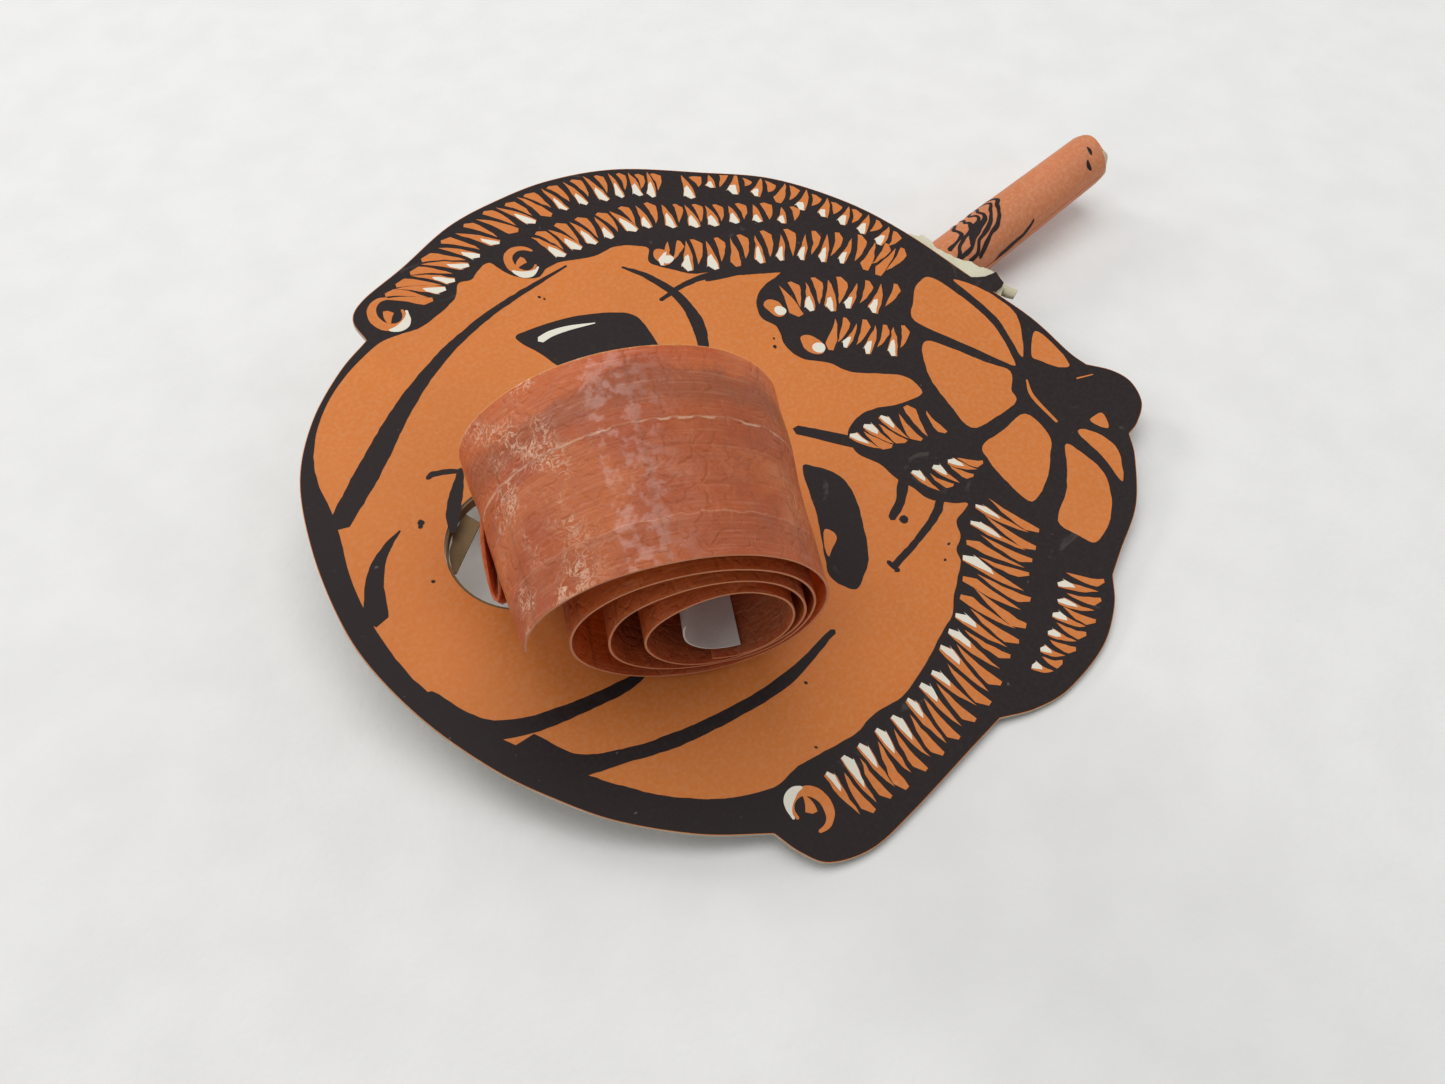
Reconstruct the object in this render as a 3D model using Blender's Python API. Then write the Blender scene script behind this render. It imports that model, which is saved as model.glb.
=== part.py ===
"""Party blow-out with a die-cut face card.

A stiff card lies tilted on its mouthpiece, a straight rolled paper tube glued along its back.
The near end of the tube turns up through a hole in the card and feeds a flat paper roll, which
lies coiled on the card and rolls out, away from the card, when somebody blows.

World frame: metres, +Z up, the table at z = 0, +X along the mouthpiece towards its mouth end.
Card frame: U along world X, V up the slope of the card, N square to its printed face, with its
zero where the printed face is above the axis of the tube, level with the hole.
"""

import bpy
import bmesh
from math import atan2, cos, pi, radians, sin, tan
from mathutils import Matrix, Vector

MM = 0.001

# Card
CARD_THICKNESS = 0.7 * MM
CARD_TILT = radians(8.97)
CARD_HEIGHT = 11.1 * MM
CURVE_STEPS = 3
HOLE_CENTRE = (6.5 * MM, -1.0 * MM)
HOLE_RADIUS = 10.5 * MM
HOLE_SIDES = 32

# Die-cut outline in millimetres, as smooth runs that meet at sharp corners
OUTLINE_RUNS = [
    [(9.5, 42), (10, 46.5), (13.5, 49), (22, 51), (33, 54), (43, 54.2), (53, 52.8), (64, 48.3),
     (75.5, 39.3), (85, 30.8), (92, 19), (95.5, 7.5), (97.5, -6), (99.3, -18), (99, -27), (99.4, -30.5)],
    [(99.4, -30.5), (102, -34), (102.8, -37.5), (101, -41.3), (97.2, -43.4), (94.3, -44)],
    [(94.3, -44), (91.5, -47.5), (84.5, -53.3), (76.5, -56.8), (72, -58.8)],
    [(72, -58.8), (68, -62.4), (61.5, -65.5), (52.5, -66.6), (46.5, -65.5), (41.5, -63.2)],
    [(41.5, -63.2), (35.7, -63.6), (22.5, -64.6), (15, -64.6), (9.5, -62.4), (7.4, -59), (6.4, -55)],
    [(6.4, -55), (-1, -49), (-8, -41), (-12.4, -33.6), (-16, -25.7), (-19, -15), (-20.2, -4),
     (-19.4, 5), (-16.5, 16), (-11.8, 26.4), (-5, 34), (3, 39.3), (9.5, 42)],
]

# Kraft collar that lines the hole
FIT_GAP = 0.3 * MM
COLLAR_WALL = 0.5 * MM
COLLAR_DEPTH = 2.4 * MM

# Mouthpiece
TUBE_RADIUS = 4.75 * MM
TUBE_WALL = 1.1 * MM
TUBE_SIDES = 28
TUBE_START = 18.5 * MM
TUBE_BEND = 97.0 * MM
TUBE_END = 141.0 * MM
TUBE_RISE = radians(6)

# Paper strip that glues the tube to the back of the card
STRIP_THICKNESS = 0.3 * MM
STRIP_GAP = 0.25 * MM
STRIP_OUTLINE = [(84, 9), (88, 14.5), (95.2, 15), (96.6, 8), (98.9, 1), (101.2, -6), (103, -12), (97, -12.5), (87, -9)]

# Squeaker, seated inside the tube
SEAT_WALL = 0.45 * MM
SEAT_LENGTH = 9.0 * MM
REED_X = 46.0 * MM
REED_RADIUS = 2.7 * MM
REED_LENGTH = 18.0 * MM
CHANNEL_WIDTH = 2.4 * MM
CHANNEL_DEPTH = 1.4 * MM
TONGUE_SIZE = (13.0 * MM, 3.6 * MM, 0.15 * MM)
WEDGE_SIZE = (4.0 * MM, 3.8 * MM, 1.2 * MM)

# Paper throat between the tube and the roll
THROAT_WALL = 0.45 * MM

# Roll: its section runs clockwise from the low left start, one hinge every sixth of a turn
ROLL_AXIS_TURN = radians(60)
ROLL_WIDTH = 31.0 * MM
ROLL_CORNER = (13.4 * MM, -32.3 * MM)
LINKS = 22
LINKS_PER_TURN = 6
START_ANGLE = radians(190)
CHORD_SWELL = 1.06
PAPER_THICKNESS = 0.35 * MM
HINGE_GAP = 0.3 * MM
SEAL_LENGTH = 7.0 * MM


def clear_scene():
    for thing in list(bpy.data.objects):
        bpy.data.objects.remove(thing, do_unlink=True)


def make_material(name, colour, roughness, metallic=0.0):
    """One Principled material; the colour is linear."""
    material = bpy.data.materials.new(name)
    material.use_nodes = True
    shader = material.node_tree.nodes["Principled BSDF"]
    shader.inputs["Base Color"].default_value = (*colour, 1.0)
    shader.inputs["Roughness"].default_value = roughness
    shader.inputs["Metallic"].default_value = metallic
    return material


def make_object(name, bm, place, material, parent):
    """Turn a bmesh into a named object that stands at the matrix place, under parent."""
    bmesh.ops.recalc_face_normals(bm, faces=bm.faces)
    mesh = bpy.data.meshes.new(name)
    bm.to_mesh(mesh)
    bm.free()
    mesh.materials.append(material)
    thing = bpy.data.objects.new(name, mesh)
    bpy.context.scene.collection.objects.link(thing)
    thing.parent = parent
    thing.matrix_local = place
    return thing


def smooth_run(points, steps):
    """Points of a Catmull-Rom curve through a run, without its last point."""
    first = 2 * points[0] - points[1]
    last = 2 * points[-1] - points[-2]
    chain = [first, *points, last]
    curve = []
    for i in range(1, len(chain) - 2):
        a, b, c, d = chain[i - 1:i + 3]
        for step in range(steps):
            t = step / steps
            curve.append(0.5 * (2 * b + (c - a) * t + (2 * a - 5 * b + 4 * c - d) * t ** 2
                                + (3 * b - a - 3 * c + d) * t ** 3))
    return curve


def outline_points():
    """The card's outline as one closed list of points in its own plane."""
    points = []
    for run in OUTLINE_RUNS:
        points += smooth_run([Vector((u * MM, v * MM)) for u, v in run], CURVE_STEPS)
    return points


def loop_of_edges(bm, points, height):
    """A closed loop of edges through flat points at one height."""
    verts = [bm.verts.new((x, y, height)) for x, y in points]
    return [bm.edges.new((verts[i - 1], verts[i])) for i in range(len(verts))]


def extruded_plate(loops, low, high):
    """A flat plate from closed outlines: the first is its edge, the others are holes."""
    bm = bmesh.new()
    edges = []
    for points in loops:
        edges += loop_of_edges(bm, points, low)
    bmesh.ops.triangle_fill(bm, use_beauty=True, edges=edges)
    raised = bmesh.ops.extrude_face_region(bm, geom=bm.faces[:])
    moved = [item for item in raised["geom"] if isinstance(item, bmesh.types.BMVert)]
    bmesh.ops.translate(bm, verts=moved, vec=(0, 0, high - low))
    return bm


def circle_points(centre, radius, sides):
    turn = 2 * pi / sides
    return [(centre[0] + radius * cos(i * turn), centre[1] + radius * sin(i * turn)) for i in range(sides)]


def ring_at(bm, place, radius_x, radius_y, sides):
    """A loop of edges in the shape of an ellipse, in the XY plane of the matrix place."""
    made = bmesh.ops.create_circle(bm, segments=sides, radius=1.0)
    bmesh.ops.transform(bm, matrix=place @ Matrix.Diagonal((radius_x, radius_y, 1, 1)), verts=made["verts"])
    return list({edge for vert in made["verts"] for edge in vert.link_edges})


def hollow_tube(stations, wall, sides):
    """A tube open at both ends through stations, each a matrix and two outer radii."""
    bm = bmesh.new()
    outer = [ring_at(bm, place, rx, ry, sides) for place, rx, ry in stations]
    inner = [ring_at(bm, place, rx - wall, ry - wall, sides) for place, rx, ry in stations]
    for a, b in zip(inner, inner[1:]):
        bmesh.ops.bridge_loops(bm, edges=a + b)
    bmesh.ops.reverse_faces(bm, faces=bm.faces[:])
    for a, b in zip(outer, outer[1:]):
        bmesh.ops.bridge_loops(bm, edges=a + b)
    for a, b in ((outer[0], inner[0]), (outer[-1], inner[-1])):
        bmesh.ops.bridge_loops(bm, edges=a + b)
    return bm


def facing(position, direction, side=Vector((0, 1, 0))):
    """A matrix at position whose Z runs along direction and whose Y is near side."""
    z = direction.normalized()
    x = side.cross(z).normalized()
    y = z.cross(x)
    return Matrix.Translation(position) @ Matrix((x, y, z)).transposed().to_4x4()


def block(size, low_corner):
    bm = bmesh.new()
    made = bmesh.ops.create_cube(bm, size=1.0)
    bmesh.ops.scale(bm, vec=size, verts=made["verts"])
    bmesh.ops.translate(bm, vec=Vector(low_corner) + Vector(size) / 2, verts=made["verts"])
    return bm


def card_matrix():
    return Matrix.Translation((0, 0, CARD_HEIGHT)) @ Matrix.Rotation(CARD_TILT, 4, "X")


def footprint_centre():
    """The middle of the object's footprint, measured from the hole."""
    outline = outline_points()
    us = [p.x for p in outline]
    vs = [p.y for p in outline]
    level = cos(CARD_TILT)
    lean = sin(CARD_TILT) * CARD_THICKNESS
    return (min(us) + TUBE_END) / 2, (min(vs) * level + max(vs) * level + lean) / 2


def make_card(material, parent):
    hole = circle_points(HOLE_CENTRE, HOLE_RADIUS, HOLE_SIDES)
    bm = extruded_plate([outline_points(), hole], -CARD_THICKNESS, 0)
    make_object("face_card", bm, card_matrix(), material, parent)


def make_collar(material, parent):
    radius = HOLE_RADIUS - FIT_GAP
    ends = [Matrix.Translation((*HOLE_CENTRE, height)) for height in (-COLLAR_DEPTH, 0)]
    bm = hollow_tube([(end, radius, radius) for end in ends], COLLAR_WALL, HOLE_SIDES)
    make_object("hole_collar", bm, card_matrix(), material, parent)


def make_mouthpiece(material, parent):
    """The blowing tube, flat on the table as far as the card's edge, then rising slightly."""
    reach = TUBE_END - TUBE_BEND
    bend = TUBE_RADIUS * tan(TUBE_RISE / 2)
    stops = [(TUBE_START, 0), (TUBE_BEND - bend, 0), (TUBE_END, reach * tan(TUBE_RISE))]
    along = [Vector((1, 0, 0)), Vector((1, 0, tan(TUBE_RISE / 2))), Vector((1, 0, tan(TUBE_RISE)))]
    stations = [(facing(Vector((x, 0, TUBE_RADIUS + rise)), way), TUBE_RADIUS, TUBE_RADIUS)
                for (x, rise), way in zip(stops, along)]
    bm = hollow_tube(stations, TUBE_WALL, TUBE_SIDES)
    make_object("mouthpiece_tube", bm, Matrix.Identity(4), material, parent)


def make_edge_strip(material, parent):
    top = -CARD_THICKNESS - STRIP_GAP
    points = [Vector((u * MM, v * MM)) for u, v in STRIP_OUTLINE]
    bm = extruded_plate([points], top - STRIP_THICKNESS, top)
    make_object("edge_strip", bm, card_matrix(), material, parent)


def make_squeaker(materials, parent):
    """A wooden half-round plug with an air channel, its paper seat, and a wedge for the tongue."""
    bore = TUBE_RADIUS - TUBE_WALL
    centre = Vector((REED_X, 0, TUBE_RADIUS))
    forward = Vector((1, 0, 0))
    seat_radius = bore - FIT_GAP
    ends = [facing(centre + forward * x, forward) for x in (0, SEAT_LENGTH)]
    bm = hollow_tube([(end, seat_radius, seat_radius) for end in ends], SEAT_WALL, TUBE_SIDES)
    make_object("reed_seat", bm, Matrix.Identity(4), materials["kraft"], parent)

    half = [(REED_RADIUS * cos(a), REED_RADIUS * sin(a)) for a in (pi + i * pi / 12 for i in range(13))]
    notch = CHANNEL_WIDTH / 2
    section = half + [(notch, 0), (notch, -CHANNEL_DEPTH), (-notch, -CHANNEL_DEPTH), (-notch, 0)]
    bm = extruded_plate([section], 0, REED_LENGTH)
    upright = Matrix(((0, 0, 1, centre.x), (1, 0, 0, 0), (0, 1, 0, centre.z), (0, 0, 0, 1)))
    make_object("reed_body", bm, upright, materials["wood"], parent)

    length, width, thickness = WEDGE_SIZE
    above = centre.z + 2 * FIT_GAP + TONGUE_SIZE[2]
    bm = block(WEDGE_SIZE, (centre.x + 2 * MM, -width / 2, above))
    make_object("reed_wedge", bm, Matrix.Identity(4), materials["wood"], parent)

    length, width, thickness = TONGUE_SIZE
    hinge = Vector((centre.x + 3 * MM, 0, centre.z + FIT_GAP + thickness / 2))
    bm = block(TONGUE_SIZE, (0, -width / 2, -thickness / 2))
    make_object("reed_tongue", bm, Matrix.Translation(hinge), materials["brass"], parent)


def roll_frame():
    """The roll's own frame: X across its section to the right, Y its axis, Z off the card."""
    turn = Matrix.Rotation(ROLL_AXIS_TURN - pi / 2, 4, "Z")
    return card_matrix() @ Matrix.Translation((*ROLL_CORNER, 0)) @ turn


def roll_corner(k):
    """Corner k of the roll's section, from its low left start inwards."""
    wraps = k / LINKS_PER_TURN
    angle = START_ANGLE - 2 * pi * wraps
    middle_x = (-3.6 + 1.75 * wraps) * MM
    middle_z = (17.7 - 1.15 * wraps) * MM
    radius_x = (18.9 - 3.0 * wraps) * MM * CHORD_SWELL
    radius_z = (17.3 - 2.3 * wraps) * MM * CHORD_SWELL
    return Vector((middle_x + radius_x * cos(angle), ROLL_WIDTH / 2, middle_z + radius_z * sin(angle)))


def make_roll(materials, parent):
    """The flat paper roll as straight links, each with its origin on the hinge that it turns on."""
    frame = roll_frame()
    for k in range(LINKS):
        start = roll_corner(k)
        step = roll_corner(k + 1) - start
        length = step.length
        pose = frame @ Matrix.Translation(start) @ Matrix.Rotation(-atan2(step.z, step.x), 4, "Y")
        size = (length - 2 * HINGE_GAP, ROLL_WIDTH, PAPER_THICKNESS)
        bm = block(size, (HINGE_GAP, -ROLL_WIDTH / 2, -PAPER_THICKNESS / 2))
        make_object(f"roll_link_{k + 1:02d}", bm, pose, materials["roll"], parent)
    size = (SEAL_LENGTH, ROLL_WIDTH - 2 * MM, PAPER_THICKNESS)
    low = (length - SEAL_LENGTH, -size[1] / 2, -PAPER_THICKNESS * 1.5 - FIT_GAP)
    make_object("tip_seal", block(size, low), pose, materials["white"], parent)


def make_throat(material, parent):
    """Paper throat: round where it meets the tube, flattened where it meets the roll."""
    frame = roll_frame()
    start = frame @ roll_corner(0)
    away = (frame @ roll_corner(1) - start).normalized()
    across = frame.to_3x3() @ Vector((0, 1, 0))
    end = start - away * 1.0 * MM
    tube_end = Vector((TUBE_START - FIT_GAP, 0, TUBE_RADIUS))
    low = Vector((11.0, 0.5, 6.0)) * MM
    waist = Vector((6.8, 0.5, 11.5)) * MM
    back = Vector((-1, 0, 0))
    stations = [
        (facing(tube_end, back), 3.5 * MM, 3.5 * MM),
        (facing(low + Vector((3, 0, -0.9)) * MM, Vector((-1, 0, 0.25))), 3.4 * MM, 3.5 * MM),
        (facing(low, Vector((-1, 0, 0.9))), 3.2 * MM, 3.7 * MM),
        (facing(waist, Vector((-0.6, -0.2, 1)), across), 2.6 * MM, 4.4 * MM),
        (facing((waist + end) / 2, end - waist, across), 1.9 * MM, 6.0 * MM),
        (facing(end, away, across), 1.1 * MM, 7.5 * MM),
    ]
    bm = hollow_tube(stations, THROAT_WALL, TUBE_SIDES)
    make_object("throat_sleeve", bm, Matrix.Identity(4), material, parent)


def main():
    clear_scene()
    centre = footprint_centre()
    origin = bpy.data.objects.new("footprint_origin", None)
    bpy.context.scene.collection.objects.link(origin)
    origin.location = (-centre[0], -centre[1], 0)
    materials = {
        "card": make_material("printed_card", (0.61, 0.20, 0.05), 0.55),
        "kraft": make_material("kraft_paper", (0.24, 0.17, 0.08), 0.9),
        "tube": make_material("rolled_paper", (0.60, 0.19, 0.08), 0.6),
        "cream": make_material("cream_paper", (0.68, 0.63, 0.45), 0.85),
        "roll": make_material("waxed_paper", (0.52, 0.11, 0.05), 0.35),
        "white": make_material("white_paper", (0.70, 0.67, 0.63), 0.8),
        "wood": make_material("soft_wood", (0.55, 0.38, 0.20), 0.7),
        "brass": make_material("brass_strip", (0.72, 0.52, 0.22), 0.35, 1.0),
    }
    make_card(materials["card"], origin)
    make_collar(materials["kraft"], origin)
    make_mouthpiece(materials["tube"], origin)
    make_edge_strip(materials["cream"], origin)
    make_squeaker(materials, origin)
    make_roll(materials, origin)
    make_throat(materials["kraft"], origin)
    bpy.context.view_layer.update()


main()
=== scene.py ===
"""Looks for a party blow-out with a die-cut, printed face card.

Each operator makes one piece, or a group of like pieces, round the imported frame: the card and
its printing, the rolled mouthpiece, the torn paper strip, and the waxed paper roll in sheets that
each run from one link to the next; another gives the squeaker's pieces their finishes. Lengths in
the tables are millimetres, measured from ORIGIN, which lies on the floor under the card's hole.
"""

from math import atan2, cos, pi, radians, sin, tan

import bmesh
import bpy
from bpy.props import FloatProperty, FloatVectorProperty, PointerProperty
from bpy.types import Operator, Panel, PropertyGroup
from mathutils import Matrix, Vector, noise


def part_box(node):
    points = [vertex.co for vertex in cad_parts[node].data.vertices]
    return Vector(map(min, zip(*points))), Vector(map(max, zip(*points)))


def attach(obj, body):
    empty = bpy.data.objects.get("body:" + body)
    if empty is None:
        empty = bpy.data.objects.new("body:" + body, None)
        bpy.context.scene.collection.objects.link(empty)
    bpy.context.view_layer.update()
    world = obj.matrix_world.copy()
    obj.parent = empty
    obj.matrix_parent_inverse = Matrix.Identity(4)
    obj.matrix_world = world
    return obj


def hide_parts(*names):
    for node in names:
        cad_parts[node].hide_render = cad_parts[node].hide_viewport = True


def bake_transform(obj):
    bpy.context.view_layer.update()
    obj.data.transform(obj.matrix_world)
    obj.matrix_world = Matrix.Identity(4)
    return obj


bl_info = {
    "name": "Party Blow-out",
    "version": (1, 0, 0),
    "blender": (4, 5, 0),
    "location": "View3D > Sidebar > Blow-out",
    "description": "Builds a paper party blow-out on a printed face card",
    "category": "Add Mesh",
}

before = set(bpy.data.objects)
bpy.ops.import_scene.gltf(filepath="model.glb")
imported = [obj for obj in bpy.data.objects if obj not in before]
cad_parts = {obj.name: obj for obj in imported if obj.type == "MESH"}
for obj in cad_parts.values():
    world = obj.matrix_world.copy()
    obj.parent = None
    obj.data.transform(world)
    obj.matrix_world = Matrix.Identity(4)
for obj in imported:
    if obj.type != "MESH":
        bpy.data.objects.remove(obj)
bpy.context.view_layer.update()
MM = 0.001

# The squeaker's seat starts SEAT_OFFSET along the tube from ORIGIN, and the card leans over it
SEAT_OFFSET = 46
CARD_HEIGHT = 11.1
SEAT_LOW, SEAT_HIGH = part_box("reed_seat")
ORIGIN = Vector((SEAT_LOW.x - SEAT_OFFSET * MM, (SEAT_LOW.y + SEAT_HIGH.y) / 2, 0))
CARD_TILT = radians(8.97)
CARD_PLACE = (Matrix.Translation(ORIGIN + Vector((0, 0, CARD_HEIGHT * MM)))
              @ Matrix.Rotation(CARD_TILT, 4, "X"))
HOLE_CENTRE = (6.5, -1.0)
HOLE_RADIUS = 10.5

# Die-cut outline, as smooth runs that meet at sharp corners
OUTLINE_RUNS = [
    [(9.5, 42), (10, 46.5), (13.5, 49), (22, 51), (33, 54), (43, 54.2), (53, 52.8), (64, 48.3),
     (75.5, 39.3), (85, 30.8), (92, 19), (95.5, 7.5), (97.5, -6), (99.3, -18), (99, -27), (99.4, -30.5)],
    [(99.4, -30.5), (102, -34), (102.8, -37.5), (101, -41.3), (97.2, -43.4), (94.3, -44)],
    [(94.3, -44), (91.5, -47.5), (84.5, -53.3), (76.5, -56.8), (72, -58.8)],
    [(72, -58.8), (68, -62.4), (61.5, -65.5), (52.5, -66.6), (46.5, -65.5), (41.5, -63.2)],
    [(41.5, -63.2), (35.7, -63.6), (22.5, -64.6), (15, -64.6), (9.5, -62.4), (7.4, -59), (6.4, -55)],
    [(6.4, -55), (-1, -49), (-8, -41), (-12.4, -33.6), (-16, -25.7), (-19, -15), (-20.2, -4),
     (-19.4, 5), (-16.5, 16), (-11.8, 26.4), (-5, 34), (3, 39.3), (9.5, 42)],
]

# Where the skin colour of the printed face ends and the black hair begins
FACE_EDGE = [
    (10, 40.3), (14, 40), (17, 39.3), (20.3, 39.6), (23, 40.2), (25.5, 41.2), (27.3, 43.2), (29.5, 42.6),
    (31.3, 43.5), (33.8, 43.8), (34.6, 41), (35.8, 38.6), (38.3, 36.7), (40.4, 37.4), (43, 37.3),
    (46, 36), (49, 34.9), (52.5, 34.7), (55.5, 32.8), (56.8, 31), (55, 28.6), (57.3, 25), (59.5, 22.3),
    (61.6, 21.1), (60, 20), (65, 17.9), (71.5, 14.4), (67, 13.6), (64, 12), (62.3, 9), (63, 5.8),
    (61.6, 2.5), (61.8, -1), (64.8, -4.4), (66.5, -8), (70, -11), (73, -14), (73, -17.8), (70, -17.6),
    (67.5, -16.9), (65, -15.6), (62, -14.9), (59, -15.5), (57, -17), (56.4, -20), (57.8, -23.5),
    (57.9, -27), (58.8, -29.4), (59.3, -32.4), (61.6, -35), (63.5, -36.8), (60, -37.6), (58.3, -40),
    (56.3, -41), (55.3, -42.8), (52.7, -44.6), (50, -46.3), (48, -48), (44.7, -49), (41.5, -50.2),
    (38, -51.3), (33, -52.3), (28.5, -51.6), (24.5, -52), (20, -51.3), (15, -50.4), (10.5, -50.4),
    (4.5, -47.4), (-0.5, -43), (-4, -38.6), (-7, -34), (-10, -28.5), (-12.6, -23.2), (-15.2, -16.2),
    (-16.6, -10), (-16.9, -4), (-16.1, 3.4), (-14.6, 9.6), (-12.4, 15.2), (-11, 20), (-10, 24.6),
    (-7.6, 29.4), (-3.4, 34), (2.6, 37.8),
]

# Brush strokes of the face: the line that each follows, and its widths from start to end
FACE_STROKES = [
    ([(43.4, 36), (33.2, 35.7), (25.9, 34.9), (18.6, 33.2), (11.8, 30.6), (5.4, 27.3), (-1, 23.3),
      (-6.5, 19.9), (-11.3, 17)], (0.4, 1.0, 1.3, 1.7, 2.2, 2.9, 3.5, 3.4, 3.0)),
    ([(11.5, 16.9), (15, 17.8), (20.5, 18.6), (28.4, 19.2)], (0.5, 1.2, 1.5, 1.2)),
    ([(2.6, 15.8), (3.6, 15.9), (5.4, 15), (7.2, 13.9)], (0.7, 0.9, 0.9, 0.7)),
    ([(7.2, 14.2), (5.2, 12), (3.4, 10.2), (1.6, 8.2), (0.4, 6.4)], (0.9, 1.6, 2.0, 2.0, 1.0)),
    ([(-15.6, 1.5), (-12.4, 6.6), (-9.2, 9.3), (-5.5, 10.9)], (3.4, 2.4, 1.4, 0.3)),
    ([(-16.6, -12), (-14.4, -19.4), (-9.6, -23.3), (-2, -25.8), (4, -27.1), (8.3, -27.4)],
     (1.6, 2.8, 2.4, 2.0, 1.8, 0.9)),
    ([(-11.4, -26.6), (-7.6, -31.8), (-1.8, -34.8), (5, -37.4), (13.2, -39.3), (22.3, -40.3), (32.4, -39.1)],
     (5.6, 3.2, 1.9, 2.0, 1.8, 1.7, 0.9)),
    ([(50.7, 30.4), (52.6, 27), (54, 22.2), (54, 18), (52.8, 13.6), (50.2, 9)], (0.4, 1.1, 1.5, 1.8, 2.2, 1.6)),
    ([(51.4, 21.4), (56, 21.6), (61.4, 20.6), (66.8, 17.7), (71.8, 14.8)], (0.7, 1.0, 1.2, 1.4, 1.6)),
    ([(51.8, -10.8), (54.2, -13.9), (57.2, -17.8)], (1.6, 1.9, 2.1)),
    ([(52.3, -31.2), (55.4, -30), (58.6, -27.6)], (1.2, 1.5, 1.7)),
    ([(46.7, -37.2), (53.2, -36.2), (58.4, -34.8), (61.4, -33)], (1.1, 1.1, 1.3, 1.2)),
    ([(46.6, -36.2), (46.7, -38.1)], (0.7, 0.7)),
    ([(5.9, -15.5), (8.4, -17), (12, -20.4)], (0.9, 1.8, 2.4)),
    ([(5.6, -27.2), (9.6, -26.8), (14, -24.4)], (0.9, 1.5, 2.0)),
]
LEFT_EYE = [(28, 28.9), (31.4, 28.8), (36.8, 27.4), (42.3, 24.7), (45.5, 22.2), (46.1, 19.8), (45.6, 16.6),
            (44.5, 14), (40, 15.9), (35, 18), (30.6, 19.6), (29.2, 24.4)]
LEFT_GLINT = ([(30.9, 26.3), (33, 26.3), (36, 25.5), (39.8, 23.9)], (1.3, 1.2, 0.9, 0.2))
RIGHT_EYE = [(47.6, -16.6), (49.4, -17.4), (51, -20.2), (51.2, -23), (50, -26.2), (47.7, -29.9), (45, -33.6),
             (42.3, -35.5), (39.8, -36.4), (38.5, -34.6), (38.2, -32.2), (40.4, -28.8), (43.6, -24)]
RIGHT_GLINT = [(42.8, -26.4), (43.6, -27.4), (43.3, -28.6), (41.6, -29.4), (40.2, -30), (41, -28.3)]
CAP_PANELS = [
    [(82.5, -7), (85.2, -3.9), (88.2, -1.7), (91.3, -1.6), (92.4, -4.7), (93, -11.1), (92.5, -16.5),
     (90, -22.6), (88.9, -22.8), (86.3, -16.5)],
    [(94.4, -4.6), (96.4, -7.6), (97.7, -12), (97.6, -16.3), (94.6, -20.4), (91.6, -23), (93.2, -18.6),
     (94.4, -14.5), (94.5, -9)],
    [(97.6, -20.7), (98, -25), (96.9, -28.9), (95, -28), (93.5, -25.2), (93.3, -23.6)],
    [(74.3, -27.4), (74.8, -22), (76.1, -16.5), (79, -12), (81.2, -11.1), (83.4, -14.7), (85.9, -20),
     (87.8, -23.8), (85.2, -26.3), (84, -28.4), (79, -28.5)],
    [(71.8, -42.6), (71.3, -38), (71.9, -33.6), (73.2, -30.9), (78, -30.9), (83.4, -30.9), (83.4, -36),
     (80.6, -38.8), (76.6, -41.4)],
    [(72.4, -47.4), (77.4, -44.8), (81.4, -41.6), (84.3, -38.9), (85.2, -42.4), (85, -46.3), (82.4, -50),
     (78.4, -52.7), (74.2, -53.5), (73, -51)],
    [(87.5, -39), (88.8, -38.7), (90.3, -41.4), (90.2, -45), (86.2, -49.2), (87.3, -44)],
    [(91, -38.4), (93.8, -38.6), (92.3, -41.2)],
]
PANEL_STROKES = [
    ([(88.7, -26.6), (87, -29.4), (86.4, -35.1)], (0.3, 0.7, 0.5)),
    ([(95.8, -31.5), (98.6, -32.6)], (0.3, 0.2)),
]
SPOTS = [(-2.4, 10.2, 0.5), (-2.8, 9.7, 0.35), (-6.4, 1.4, 0.3), (53.6, -32.5, 0.7), (82.1, -25.4, 0.55),
         (36, 33.4, 0.3), (36.4, 32.6, 0.22), (60, 3.1, 0.35), (61, 4.4, 0.2), (24, -42.4, 0.22),
         (56, -39.7, 0.25), (53.6, -41.2, 0.22), (90.1, -42.8, 0.35), (71.5, -24, 0.2), (46.5, -37.9, 0.3),
         (18.7, -50, 0.2)]

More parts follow.
